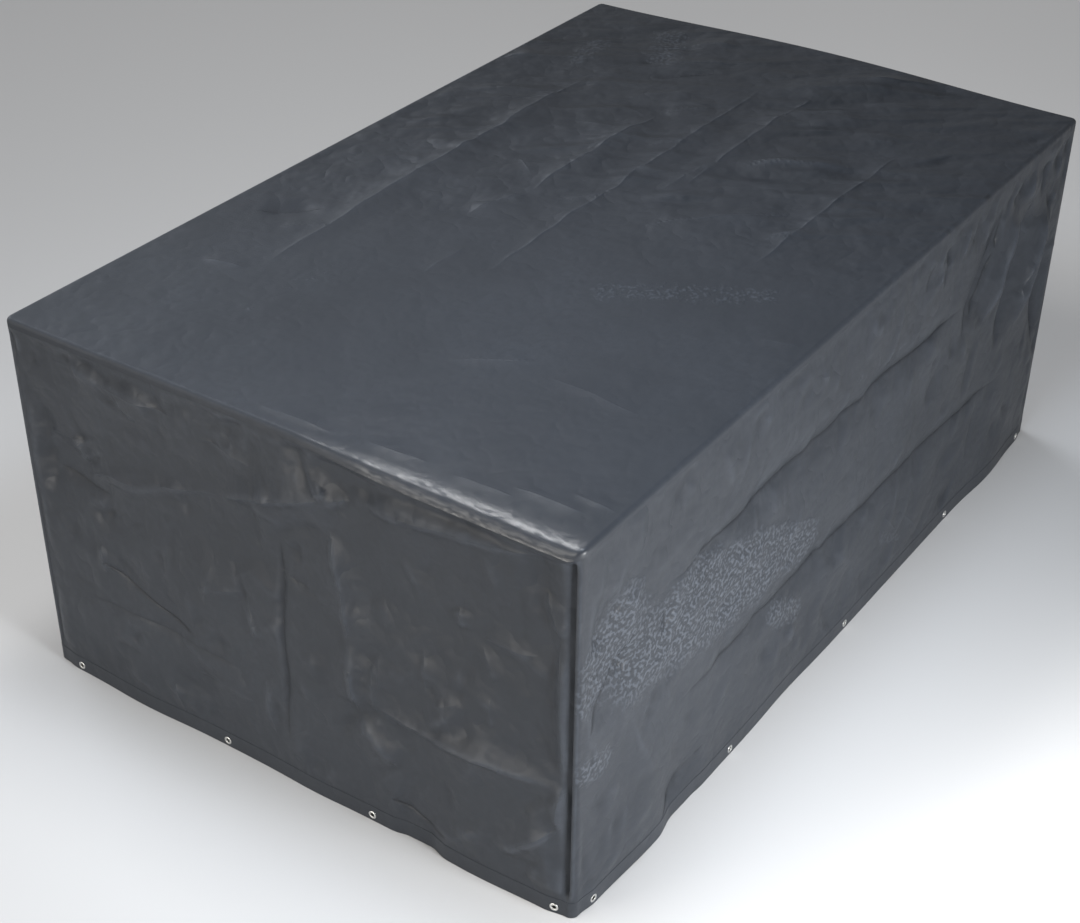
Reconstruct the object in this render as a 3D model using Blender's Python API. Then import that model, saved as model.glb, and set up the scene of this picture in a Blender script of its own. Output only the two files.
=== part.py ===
"""A fitted rain cover for patio furniture: a hollow box of coated woven cloth, open below.

Frame: metres, +Z up. The origin is under the middle of the cover, level with its lowest hem.
+X runs along its length, +Y across it. The near walls face -X (end) and -Y (long side).

Each panel starts as a sheet on a box with rounded edges. Its folds are pushed out along the
sheet's normal, a row of a table for each, and then the whole cover settles: its corners move
a little and its top crowns, all panels together, so every seam keeps its narrow gap.
"""

import math
from typing import NamedTuple

import bpy
import numpy as np
from mathutils import Matrix, Vector

# ---------------------------------------------------------------- driving dimensions, metres
LENGTH = 2.25
WIDTH = 1.43
HEIGHT = 0.90

CLOTH = 0.0015  # thickness of a single panel
HEM_CLOTH = 0.0026  # the hem is doubled
SEAM_GAP = 0.0003

CORNER_RADIUS = 0.016  # upright corners, seen from above
EDGE_RADIUS = 0.009  # roll from the top over to the walls
RIM_DROP = 0.016  # the top panel reaches this far down the walls
HEM_HEIGHT = 0.040

EYELET_BORE = 0.0048  # radii of an eyelet
EYELET_BARREL = 0.0060
EYELET_FLANGE = 0.0095
EYELET_LIP = 0.0009  # how far a flange stands off the hem's face
EYELET_CLEARANCE = 0.0003
EYELET_HEIGHT = 0.0155  # its middle, above the hem's edge
EYELET_FLAT = 0.013  # the hem is flat this far to each side of an eyelet's middle

CORNER_STEPS = 4  # facets of an upright corner
EDGE_STEPS = 2  # facets of the edge roll
EYELET_STEPS = 10
HOLE_STEPS = 14

HALF_X = LENGTH / 2 - CLOTH / 2  # the sheets' middle surface
HALF_Y = WIDTH / 2 - CLOTH / 2
TOP_Z = HEIGHT - CLOTH / 2

SEAM_FADE = 0.05  # folds flatten out over this distance to a seam
CREASE_FLANK = 0.02  # grid lines stand this far to each side of a crease
LEAST_ROW_PITCH = 0.07  # spacing of the walls' rows away from their creases
HEM_PITCH = 0.09
CALM_UNTIL_X = -0.10  # the top is smooth up to here, and gathered beyond
CALM_PITCH = 0.095  # spacing of the top's lines across its smooth part
SLACK_PITCH = 0.062  # and across its gathered part
ACROSS_PITCH = 0.085  # and of those along it


class Fold(NamedTuple):
    """A straight soft fold on a face, from start to end in the face's own coordinates.

    It rises by height along the outward normal, or sinks where that is negative, and
    falls to about a third of that at half_width from its line.
    """

    start: tuple
    end: tuple
    half_width: float
    height: float


# ---------------------------------------------------------------- folds, in (x, y) on the top
TOP_FOLDS = (
    # the long creases left by packing, parallel to the length
    Fold((-0.645, 0.435), (0.680, 0.435), 0.020, 0.006),
    Fold((-0.195, 0.215), (-0.030, 0.165), 0.024, 0.006),
    Fold((-0.030, 0.165), (0.530, 0.145), 0.022, 0.007),
    Fold((-0.425, 0.015), (0.830, 0.010), 0.020, 0.004),
    Fold((0.200, -0.115), (0.860, -0.115), 0.022, 0.005),
    Fold((-0.050, -0.440), (0.675, -0.445), 0.020, 0.004),
    # slack that gathers slantwise at the far end
    Fold((0.530, 0.145), (0.630, 0.050), 0.034, 0.006),
    Fold((0.740, -0.090), (1.040, -0.360), 0.040, -0.012),
    Fold((0.880, -0.100), (1.070, -0.300), 0.034, 0.012),
    Fold((0.680, -0.120), (0.820, -0.280), 0.034, 0.009),
    Fold((0.330, -0.180), (0.470, -0.410), 0.036, -0.008),
    Fold((0.400, -0.160), (0.540, -0.400), 0.034, 0.008),
    Fold((-0.030, -0.130), (0.240, -0.400), 0.045, 0.007),
    Fold((0.730, 0.320), (0.850, 0.150), 0.034, -0.009),
    Fold((0.800, 0.320), (0.920, 0.150), 0.034, 0.007),
    Fold((0.570, 0.280), (0.690, 0.110), 0.034, 0.006),
    Fold((0.950, 0.340), (1.030, 0.200), 0.034, 0.006),
    Fold((-0.450, 0.620), (-0.350, 0.500), 0.036, -0.005),
)
TOP_CREASE_ROWS = (0.435, 0.155, 0.012, -0.115, -0.442)

# ------------------------------------- folds, in (run, z) on a wall seen from outside, run to the right
SIDE_NEAR_FOLDS = (
    # two packing creases along the whole wall
    Fold((-0.860, 0.642), (0.560, 0.642), 0.020, -0.008),
    Fold((-0.800, 0.312), (0.880, 0.312), 0.020, -0.008),
    # the cloth between them bellies out
    Fold((-0.700, 0.480), (0.500, 0.480), 0.110, 0.006),
    Fold((-0.600, 0.780), (0.300, 0.780), 0.080, 0.005),
    # slants beside the near corner
    Fold((-1.000, 0.760), (-1.100, 0.630), 0.036, -0.009),
    Fold((-0.920, 0.610), (-1.100, 0.450), 0.036, -0.009),
    Fold((-0.830, 0.040), (-0.640, 0.130), 0.040, -0.007),
    # gathers that run down from the far corner
    Fold((0.760, 0.830), (0.580, 0.570), 0.036, -0.009),
    Fold((0.850, 0.850), (0.710, 0.610), 0.034, 0.009),
    Fold((0.900, 0.820), (0.800, 0.430), 0.042, -0.013),
    Fold((0.980, 0.800), (0.900, 0.420), 0.038, 0.012),
    Fold((1.040, 0.620), (1.060, 0.280), 0.036, -0.010),
    # the wall flares towards its hem, which swings out in shallow waves
    Fold((-1.050, 0.000), (1.050, 0.000), 0.300, 0.007),
    Fold((-0.850, 0.000), (-0.850, 0.260), 0.130, 0.009),
    Fold((-0.250, 0.000), (-0.250, 0.160), 0.120, -0.004),
    Fold((0.850, 0.000), (0.850, 0.220), 0.120, 0.010),
)

END_NEAR_FOLDS = (
    # the upright packing crease in the middle, and the bent one beside it
    Fold((0.000, 0.640), (0.000, 0.110), 0.018, 0.005),
    Fold((0.135, 0.710), (0.175, 0.450), 0.024, 0.008),
    Fold((0.175, 0.450), (0.190, 0.280), 0.024, 0.008),
    Fold((0.190, 0.280), (0.290, 0.180), 0.028, 0.008),
    # the level crease towards the near corner
    Fold((0.220, 0.315), (0.690, 0.318), 0.020, 0.007),
    # the long slant that divides the wall, and the hollow above it
    Fold((0.640, 0.860), (0.185, 0.800), 0.034, 0.008),
    Fold((0.185, 0.800), (-0.165, 0.660), 0.034, 0.008),
    Fold((-0.165, 0.660), (-0.560, 0.560), 0.038, 0.007),
    Fold((-0.600, 0.760), (-0.150, 0.790), 0.070, -0.010),
    Fold((-0.600, 0.840), (-0.250, 0.815), 0.024, 0.005),
    # small slants beside the near corner
    Fold((0.520, 0.090), (0.680, 0.230), 0.026, 0.007),
    Fold((0.260, 0.090), (0.420, 0.060), 0.045, -0.007),
    Fold((-0.540, 0.360), (-0.250, 0.260), 0.060, -0.006),
    # the wall flares towards its hem, which swings out in shallow waves
    Fold((-0.650, 0.000), (0.650, 0.000), 0.300, 0.007),
    Fold((-0.430, 0.000), (-0.430, 0.220), 0.120, 0.007),
    Fold((0.060, 0.000), (0.060, 0.180), 0.090, 0.004),
    Fold((0.480, 0.000), (0.480, 0.220), 0.110, 0.006),
)

# the walls that face away carry the same packing creases, plainly
SIDE_FAR_FOLDS = (
    Fold((-0.900, 0.642), (0.900, 0.642), 0.020, -0.007),
    Fold((-0.900, 0.312), (0.900, 0.312), 0.020, -0.007),
    Fold((-0.700, 0.480), (0.700, 0.480), 0.110, 0.005),
    Fold((-1.050, 0.000), (1.050, 0.000), 0.300, 0.006),
    Fold((-0.500, 0.000), (-0.500, 0.220), 0.130, 0.007),
    Fold((0.450, 0.000), (0.450, 0.220), 0.130, 0.007),
)
END_FAR_FOLDS = (
    Fold((0.000, 0.780), (0.000, 0.110), 0.020, 0.006),
    Fold((-0.600, 0.315), (0.600, 0.315), 0.020, 0.006),
    Fold((-0.650, 0.000), (0.650, 0.000), 0.300, 0.006),
    Fold((-0.350, 0.000), (-0.350, 0.220), 0.120, 0.007),
    Fold((0.350, 0.000), (0.350, 0.220), 0.120, 0.007),
)

SIDE_EYELETS = (-1.063, -0.516, 0.033, 0.595, 1.055)
END_EYELETS = (-0.635, -0.189, 0.214, 0.671)


class Wall(NamedTuple):
    """An upright face. turn is its angle about Z, counted from the near long side."""

    name: str
    turn: float
    half_run: float
    half_depth: float
    wraps: bool  # a side panel goes round the corners, an end panel fits between
    pitch: float
    crease_rows: tuple
    crease_columns: tuple
    folds: tuple
    eyelets: tuple


SIDE = {"half_run": HALF_X, "half_depth": HALF_Y, "wraps": True, "crease_rows": (0.642, 0.312),
        "crease_columns": (), "eyelets": SIDE_EYELETS}
END = {"half_run": HALF_Y, "half_depth": HALF_X, "wraps": False, "crease_rows": (0.316,),
       "crease_columns": (0.0, 0.18), "eyelets": END_EYELETS}

WALLS = (
    Wall("side_near", turn=0, pitch=0.068, folds=SIDE_NEAR_FOLDS, **SIDE),
    Wall("side_far", turn=180, pitch=0.150, folds=SIDE_FAR_FOLDS, **SIDE),
    Wall("end_near", turn=-90, pitch=0.052, folds=END_NEAR_FOLDS, **END),
    Wall("end_far", turn=90, pitch=0.120, folds=END_FAR_FOLDS, **END),
)

# ---------------------------------------------------------------- how the whole cover settles
CORNER_MOVES = {
    # (x side, y side, 1 at the top or 0 at the hem): the corner's move from the plain box
    (-1, +1, 1): (-0.006, 0.005, 0.000),
    (+1, +1, 1): (0.004, 0.000, 0.009),
    (+1, -1, 1): (0.011, -0.002, 0.018),
    (-1, -1, 1): (-0.002, 0.000, -0.001),
    (-1, +1, 0): (0.004, -0.003, 0.000),
    (-1, -1, 0): (0.001, -0.003, 0.001),
    (+1, -1, 0): (-0.008, -0.001, 0.000),
    (+1, +1, 0): (-0.006, -0.002, 0.001),
}
CROWN = 0.016  # the top's middle stands up by this at the far end
CROWN_NEAR_SHARE = 0.25  # and by this share of it at the near end


def smooth_step(value):
    """0 below 0, 1 above 1, and a smooth rise between."""
    t = np.clip(value, 0, 1)
    return t * t * (3 - 2 * t)


def settled(points):
    """Points of the plain box after its corners have moved and its top has crowned."""
    sides = points / (LENGTH / 2, WIDTH / 2, HEIGHT)
    moved = points.copy()
    for (x_side, y_side, level), move in CORNER_MOVES.items():
        up = sides[:, 2] if level else 1 - sides[:, 2]
        share = (1 + x_side * sides[:, 0]) / 2 * (1 + y_side * sides[:, 1]) / 2 * up
        moved += share[:, None] * np.array(move)
    across = np.cos(np.clip(sides[:, 1], -1, 1) * math.pi / 2) ** 2
    along = CROWN_NEAR_SHARE + (1 - CROWN_NEAR_SHARE) * smooth_step((sides[:, 0] + 0.4) / 1.4)
    moved[:, 2] += CROWN * across * along * sides[:, 2]
    return moved


def relief(places, folds):
    """The folds' height at each place, where places are in the face's own coordinates."""
    height = np.zeros(len(places))
    for fold in folds:
        start = np.array(fold.start)
        run = np.array(fold.end) - start
        share = (places - start) @ run / (run @ run)
        nearest = start + np.clip(share, 0, 1)[:, None] * run
        off = np.linalg.norm(places - nearest, axis=1) / fold.half_width
        height += fold.height * np.exp(-off * off)
    return height


def beside(marks, distance):
    """A line to each side of every mark."""
    return tuple(mark + side * distance for mark in marks for side in (-1, 1))


def creased(marks):
    """The lines that a crease needs: its own, and one at the foot of each of its flanks."""
    return (*marks, *beside(marks, CREASE_FLANK))


def ruled(low, high, pitch, marks=()):
    """Grid lines from low to high, at most pitch apart, with one on each mark between them."""
    lines = sorted({low, high, *(mark for mark in marks if low < mark < high)})
    filled = [lines[0]]
    for start, stop in zip(lines, lines[1:]):
        parts = max(1, math.ceil((stop - start) / pitch - 1e-9))
        filled += [start + (stop - start) * k / parts for k in range(1, parts + 1)]
    return np.array(filled)


def grid_faces(rows, columns):
    """The quads of a grid of points. They face out where columns run to the right and rows up."""
    return [
        (r * columns + c, r * columns + c + 1, (r + 1) * columns + c + 1, (r + 1) * columns + c)
        for r in range(rows - 1)
        for c in range(columns - 1)
    ]


def sheet_object(name, points, faces, thickness, material, parent):
    """A cloth piece: its middle surface, thickened evenly to both sides."""
    mesh = bpy.data.meshes.new(name)
    mesh.from_pydata([tuple(p) for p in points], [], faces)
    mesh.materials.append(material)
    piece = bpy.data.objects.new(name, mesh)
    bpy.context.scene.collection.objects.link(piece)
    piece.parent = parent
    solid = piece.modifiers.new("cloth thickness", "SOLIDIFY")
    solid.thickness = thickness
    solid.offset = 0
    solid.use_even_offset = True
    return piece


# ---------------------------------------------------------------- top panel
def rounded_corner(x, y):
    """Grid points of the flat top, with each corner block drawn in to a quarter circle."""
    reach = CORNER_RADIUS - EDGE_RADIUS
    centre_x, centre_y = HALF_X - CORNER_RADIUS, HALF_Y - CORNER_RADIUS
    over_x = np.clip(abs(x) - centre_x, 0, None) / reach
    over_y = np.clip(abs(y) - centre_y, 0, None) / reach
    in_block = (over_x > 0) & (over_y > 0)
    radius = np.maximum(over_x, over_y)
    least = np.minimum(over_x, over_y) / np.where(radius > 0, radius, 1)
    angle = np.where(over_x >= over_y, least, 2 - least) * math.pi / 4
    round_x = np.sign(x) * (centre_x + reach * radius * np.cos(angle))
    round_y = np.sign(y) * (centre_y + reach * radius * np.sin(angle))
    return np.where(in_block, round_x, x), np.where(in_block, round_y, y)


def with_corner_lines(lines, half):
    """Lines across a face between its corners, with the corner blocks' own lines added outside."""
    reach = CORNER_RADIUS - EDGE_RADIUS
    steps = [reach * k / (CORNER_STEPS // 2) for k in range(1, CORNER_STEPS // 2 + 1)]
    edge = half - CORNER_RADIUS
    return np.concatenate([[-edge - s for s in reversed(steps)], lines, [edge + s for s in steps]])


def border_of(rows, columns):
    """Indices of a grid's outer points, counter-clockwise from its first point."""
    bottom = list(range(columns))
    right = [r * columns + columns - 1 for r in range(1, rows)]
    top = [(rows - 1) * columns + c for c in range(columns - 2, -1, -1)]
    left = [r * columns for r in range(rows - 2, 0, -1)]
    return bottom + right + top + left


def outward_from_top(x, y):
    """Unit vectors, seen from above, that point straight out from the top's border."""
    centre_x, centre_y = HALF_X - CORNER_RADIUS, HALF_Y - CORNER_RADIUS
    slack = 1e-6
    over = np.column_stack(
        [
            np.sign(x) * np.where(abs(x) > centre_x + slack, abs(x) - centre_x, 0),
            np.sign(y) * np.where(abs(y) > centre_y + slack, abs(y) - centre_y, 0),
        ]
    )
    return over / np.linalg.norm(over, axis=1)[:, None]


def top_fade(x, y):
    """0 at the top's edge and 1 away from it."""
    inside = np.minimum(HALF_X - abs(x), HALF_Y - abs(y))
    return smooth_step((inside - EDGE_RADIUS) / SEAM_FADE)


def flat_top():
    """The top inside its edge roll: its points, its quads and the indices of its outer points."""
    edge_x, edge_y = HALF_X - CORNER_RADIUS, HALF_Y - CORNER_RADIUS
    calm = ruled(-edge_x, CALM_UNTIL_X, CALM_PITCH)
    slack = ruled(CALM_UNTIL_X, edge_x, SLACK_PITCH)
    x_lines = with_corner_lines(np.concatenate([calm, slack[1:]]), HALF_X)
    y_lines = with_corner_lines(ruled(-edge_y, edge_y, ACROSS_PITCH, creased(TOP_CREASE_ROWS)), HALF_Y)
    grid_y, grid_x = np.meshgrid(y_lines, x_lines, indexing="ij")
    x, y = rounded_corner(grid_x.ravel(), grid_y.ravel())
    height = relief(np.column_stack([x, y]), TOP_FOLDS) * top_fade(x, y)
    rows, columns = len(y_lines), len(x_lines)
    return np.column_stack([x, y, TOP_Z + height]), grid_faces(rows, columns), border_of(rows, columns)


def top_panel(cloth, parent):
    """The top, its border rolled over the edge and down to the seam."""
    points, faces, loop = flat_top()
    border = points[loop, :2]
    out = outward_from_top(*border.T)
    rolls = [math.pi / 2 * k / EDGE_STEPS for k in range(1, EDGE_STEPS + 1)]
    rings = [(EDGE_RADIUS * math.sin(a), EDGE_RADIUS * (1 - math.cos(a))) for a in rolls]
    rings.append((EDGE_RADIUS, RIM_DROP - SEAM_GAP / 2))
    inner = loop
    for reach, drop in rings:
        outer = list(range(len(points), len(points) + len(loop)))
        level = np.full(len(loop), TOP_Z - drop)
        points = np.vstack([points, np.column_stack([border + reach * out, level])])
        corners = zip(inner, outer, outer[1:] + outer[:1], inner[1:] + inner[:1])
        faces += list(corners)
        inner = outer
    return sheet_object("top_panel", settled(points), faces, CLOTH, cloth, parent)


# ---------------------------------------------------------------- walls and hems
def wall_outline(wall, columns):
    """Plan points and outward directions of a wall's columns, in the wall's own axes (run, depth)."""
    places = np.column_stack([columns, np.full(len(columns), -wall.half_depth)])
    out = np.tile((0.0, -1.0), (len(columns), 1))
    if not wall.wraps:
        return columns, places, out
    edge_run, edge_depth = wall.half_run - CORNER_RADIUS, wall.half_depth - CORNER_RADIUS
    turn = np.arange(1, CORNER_STEPS + 1) / CORNER_STEPS * math.pi / 2
    arc = np.column_stack([np.sin(turn), -np.cos(turn)])
    right = np.array((edge_run, -edge_depth)) + CORNER_RADIUS * arc
    runs = edge_run + CORNER_RADIUS * turn
    mirror = np.array((-1, 1))
    return (
        np.concatenate([-runs[::-1], columns, runs]),
        np.vstack([(right * mirror)[::-1], places, right]),
        np.vstack([(arc * mirror)[::-1], out, arc]),
    )


def wall_relief(wall, run, z):
    """The folds' height on a wall, flattened towards its corners and its top seam."""
    to_corner = wall.half_run - CORNER_RADIUS - abs(run)
    fade = smooth_step(to_corner / SEAM_FADE) * smooth_step((TOP_Z - RIM_DROP - z) / SEAM_FADE)
    return relief(np.column_stack([run, z]), wall.folds) * fade


def wall_points(wall, outline, rows, fold_rows):
    """Points of a wall, a row at each z in rows, folded as the wall is at the z in fold_rows."""
    run, places, out = outline
    angle = math.radians(wall.turn)
    spin = np.array(((math.cos(angle), math.sin(angle)), (-math.sin(angle), math.cos(angle))))
    layers = []
    for z, fold_z in zip(rows, fold_rows):
        height = wall_relief(wall, run, np.full(len(run), fold_z))
        plan = (places + height[:, None] * out) @ spin
        layers.append(np.column_stack([plan, np.full(len(plan), z)]))
    return settled(np.vstack(layers))


def wall_columns(wall, pitch, marks):
    """The columns of a wall between its corners; an end stops a seam's gap short of them."""
    edge = wall.half_run - CORNER_RADIUS - (0 if wall.wraps else SEAM_GAP)
    return ruled(-edge, edge, pitch, marks)


def wall_panel(wall, cloth, parent):
    """A wall's cloth, from the seam under the top's border down to its hem."""
    outline = wall_outline(wall, wall_columns(wall, wall.pitch, creased(wall.crease_columns)))
    low, high = HEM_HEIGHT + SEAM_GAP / 2, TOP_Z - RIM_DROP - SEAM_GAP / 2
    rows = ruled(low, high, max(wall.pitch, LEAST_ROW_PITCH), creased(wall.crease_rows))
    points = wall_points(wall, outline, rows, rows)
    faces = grid_faces(len(rows), len(outline[0]))
    return sheet_object(wall.name.replace("_", "_panel_"), points, faces, CLOTH, cloth, parent)


def hem_strip(wall, cloth, parent):
    """The doubled border below a wall. It hangs straight, and lies flat round each eyelet."""
    outline = wall_outline(wall, wall_columns(wall, HEM_PITCH, beside(wall.eyelets, EYELET_FLAT)))
    rows = np.array((0.0, HEM_HEIGHT - SEAM_GAP / 2))
    points = wall_points(wall, outline, rows, np.full(2, HEM_HEIGHT))
    faces = grid_faces(2, len(outline[0]))
    return sheet_object(f"hem_{wall.name}", points, faces, HEM_CLOTH, cloth, parent)


# ---------------------------------------------------------------- eyelets
def eyelet_profile():
    """(radius, height) round an eyelet's section: a barrel with a rounded flange on each face."""
    face = HEM_CLOTH / 2 + EYELET_CLEARANCE
    crest = (EYELET_BARREL + EYELET_FLANGE) / 2
    upper = [
        (EYELET_BARREL, face),
        (EYELET_FLANGE, face),
        (crest, face + EYELET_LIP),
        (EYELET_BORE, face + EYELET_LIP / 2),
    ]
    lower = [(radius, -height) for radius, height in reversed(upper)]
    return upper + lower


def eyelet_mesh(metal):
    """An eyelet turned about its own Z axis."""
    profile = eyelet_profile()
    count = len(profile)
    points, faces = [], []
    for step in range(EYELET_STEPS):
        angle = 2 * math.pi * step / EYELET_STEPS
        points += [(r * math.cos(angle), r * math.sin(angle), h) for r, h in profile]
        after = (step + 1) % EYELET_STEPS
        for k in range(count):
            n = (k + 1) % count
            faces.append((step * count + k, after * count + k, after * count + n, step * count + n))
    mesh = bpy.data.meshes.new("eyelet")
    mesh.from_pydata(points, [], faces)
    mesh.materials.append(metal)
    return mesh


def hole_mesh(radius, steps, depth):
    """A plain prism about Z that cuts the hem for an eyelet's barrel."""
    angles = [2 * math.pi * k / steps for k in range(steps)]
    points = [(radius * math.cos(a), radius * math.sin(a), z) for z in (-depth, depth) for a in angles]
    sides = [(k, (k + 1) % steps, steps + (k + 1) % steps, steps + k) for k in range(steps)]
    mesh = bpy.data.meshes.new("eyelet hole")
    mesh.from_pydata(points, [], [*sides, tuple(reversed(range(steps))), tuple(range(steps, 2 * steps))])
    return mesh


def eyelet_place(wall, run):
    """Where an eyelet sits: its middle on the hem, and its axis square to the hem there."""
    runs = np.array((run - EYELET_FLAT, run + EYELET_FLAT))
    outline = (runs, np.column_stack([runs, (-wall.half_depth,) * 2]), np.tile((0.0, -1.0), (2, 1)))
    corners = wall_points(wall, outline, (0.0, 2 * EYELET_HEIGHT), (HEM_HEIGHT, HEM_HEIGHT))
    low_left, low_right, high_left, high_right = (Vector(c) for c in corners)
    across = (low_right + high_right - low_left - high_left).normalized()
    up = high_left + high_right - low_left - low_right
    axis = across.cross(up).normalized()
    turn = Matrix((across, axis.cross(across), axis)).transposed().to_4x4()
    return Matrix.Translation((low_left + low_right + high_left + high_right) / 4) @ turn


def add_eyelet(name, hem, place, meshes, parent):
    """One eyelet in its hole. The hole's cutter stays in the file as a hidden guide."""
    ring_mesh, cutter_mesh = meshes
    ring = bpy.data.objects.new(name, ring_mesh)
    cutter = bpy.data.objects.new(f"{name}_hole", cutter_mesh)
    for piece in (ring, cutter):
        bpy.context.scene.collection.objects.link(piece)
        piece.parent = parent
        piece.matrix_local = place
    cutter.hide_render = True
    cutter.display_type = "WIRE"
    cut = hem.modifiers.new(f"{name} hole", "BOOLEAN")
    cut.operation = "DIFFERENCE"
    cut.object = cutter
    return ring


# ---------------------------------------------------------------- materials
def material(name, colour, roughness, metallic):
    made = bpy.data.materials.new(name)
    made.use_nodes = True
    shader = made.node_tree.nodes["Principled BSDF"]
    shader.inputs["Base Color"].default_value = (*colour, 1)
    shader.inputs["Roughness"].default_value = roughness
    shader.inputs["Metallic"].default_value = metallic
    return made


def cover_cloth():
    return material("cover_cloth", (0.060, 0.064, 0.074), 0.5, 0.0)


def eyelet_metal():
    return material("eyelet_metal", (0.62, 0.62, 0.60), 0.3, 1.0)


# ---------------------------------------------------------------- assembly
def empty_scene():
    for old in list(bpy.data.objects):
        bpy.data.objects.remove(old)


def bounds(pieces):
    """The low and high corners of the finished pieces, before the cover is centred."""
    graph = bpy.context.evaluated_depsgraph_get()
    corners = []
    for piece in pieces:
        made = piece.evaluated_get(graph)
        corners += [made.matrix_world @ v.co for v in made.to_mesh().vertices]
        made.to_mesh_clear()
    corners = np.array(corners)
    return corners.min(axis=0), corners.max(axis=0)


def main():
    empty_scene()
    cloth, metal = cover_cloth(), eyelet_metal()
    middle = bpy.data.objects.new("cover_middle", None)
    bpy.context.scene.collection.objects.link(middle)

    pieces = [top_panel(cloth, middle)]
    hole_radius = EYELET_BARREL + 2 * EYELET_CLEARANCE
    meshes = (eyelet_mesh(metal), hole_mesh(hole_radius, HOLE_STEPS, 3 * HEM_CLOTH))
    for wall in WALLS:
        hem = hem_strip(wall, cloth, middle)
        pieces += [wall_panel(wall, cloth, middle), hem]
        for number, run in enumerate(wall.eyelets, 1):
            name = f"eyelet_{wall.name}_{number}"
            pieces.append(add_eyelet(name, hem, eyelet_place(wall, run), meshes, middle))

    low, high = bounds(pieces)
    middle.location = (-(low[0] + high[0]) / 2, -(low[1] + high[1]) / 2, -low[2])


main()
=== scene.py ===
"""A fitted rain cover for patio furniture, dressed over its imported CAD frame.

Every cloth piece starts on the same plain box as its CAD solid, with rounded edges. Folds are
then pushed out along the sheet's normal, a row of a table for each, finer creases and crinkles
are laid over them, and the whole cover settles: its corners move a little and its top crowns.
"""

import math
from typing import NamedTuple

import bpy
import numpy as np
from bpy.props import FloatProperty, FloatVectorProperty, PointerProperty
from mathutils import Matrix, Vector


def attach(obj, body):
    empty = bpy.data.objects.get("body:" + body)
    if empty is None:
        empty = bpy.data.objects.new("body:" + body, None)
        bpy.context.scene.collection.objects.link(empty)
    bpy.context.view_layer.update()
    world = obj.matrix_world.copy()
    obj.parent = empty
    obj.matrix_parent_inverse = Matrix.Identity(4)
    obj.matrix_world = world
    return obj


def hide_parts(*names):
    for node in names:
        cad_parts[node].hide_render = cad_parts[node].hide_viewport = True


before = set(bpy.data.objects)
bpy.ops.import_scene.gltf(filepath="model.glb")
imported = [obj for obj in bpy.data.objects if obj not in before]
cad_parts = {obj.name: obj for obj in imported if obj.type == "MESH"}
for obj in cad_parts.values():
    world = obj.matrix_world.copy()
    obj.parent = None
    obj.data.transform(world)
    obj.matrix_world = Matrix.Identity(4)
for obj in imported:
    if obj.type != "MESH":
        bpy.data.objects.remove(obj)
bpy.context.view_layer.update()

bl_info = {
    "name": "Patio Furniture Rain Cover",
    "version": (1, 0, 0),
    "blender": (4, 5, 0),
    "location": "3D View > Sidebar > Rain Cover",
    "description": "Builds a fitted rain cover for patio furniture, with its folds, hems and eyelets",
    "category": "Add Mesh",
}

# ---------------------------------------------------------------- the cover's sizes, metres
LENGTH = 2.25
WIDTH = 1.43
HEIGHT = 0.90
CLOTH = 0.0015
HEM_CLOTH = 0.0026
SEAM_GAP = 0.0001
CORNER_RADIUS = 0.016
EDGE_RADIUS = 0.009
RIM_DROP = 0.016  # the top's border ends this far below it, at the seam
HEM_HEIGHT = 0.040
HALF_X = LENGTH / 2 - CLOTH / 2
HALF_Y = WIDTH / 2 - CLOTH / 2
TOP_Z = HEIGHT - CLOTH / 2
SEAM_FADE = 0.05  # main folds flatten out over this distance to a seam
FINE_FADE = 0.018  # and fine ones over this distance
CENTRING = (0.001974, 0.003042, 0.000017)  # from the plain box to the frame's origin

EYELET_BORE = 0.0048  # three radii
EYELET_BARREL = 0.0060
EYELET_FLANGE = 0.0095
EYELET_LIP = 0.0009  # the flange's dome stands up by this
EYELET_CLEARANCE = 0.0003  # between eyelet and hem
EYELET_HEIGHT = 0.0155  # of its middle over the hem's foot
EYELET_FLAT = 0.013  # half the stretch of hem that gives an eyelet its slope
EYELET_HARD_TURN = math.radians(50)  # faces that meet at more than this look sharp

GROOVE_IN_SIDE = 0.005  # the upright seams lie in grooves, wider on the end panel's side
GROOVE_IN_END = 0.011
GROOVE_DEEP = 0.012  # at the near corner
GROOVE_SHALLOW = 0.004  # at the three others
GROOVE_TOP_FADE = 0.02  # they start over this distance below the top seam
GROOVE_HEM_FADE = 0.03  # and end over this one above the hem

# ---------------------------------------------------------------- the sheets' grids
CORNER_STEPS = 8
EDGE_STEPS = 5
EYELET_STEPS = 40
DOME_STEPS = 10
HOLE_STEPS = 28
TOP_PITCH = 0.0094
TOP_CREASE_ROWS = (0.435, 0.155, 0.012, -0.115, -0.442)  # where its long folds run
HEM_PITCH = 0.008
HEM_ROWS = 7
CREASE_PITCH = 0.005  # grid lines beside a straight crease
CREASE_REACH = 0.016
GRADE_SAMPLES = 4001  # at which the spacing of a face's grid lines is worked out

CUT_MAP = "cut"  # the UV map that lays each piece out flat, in metres
GRAIN_MAP = "grain"  # the one whose second axis runs along the fine wrinkles


class Fold(NamedTuple):
    """A straight soft fold on a face, from start to end in the face's own coordinates.

    It rises by height along the outward normal, or sinks where that is negative, and falls away
    over a few half widths. A fold wider than BROAD is a soft swell; a narrower one has a sharp
    crest and tapers to its ends. lean makes one flank longer: the left one, seen from its start,
    where it is positive.
    """

    start: tuple
    end: tuple
    half_width: float
    height: float
    lean: float = 0.0


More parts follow.
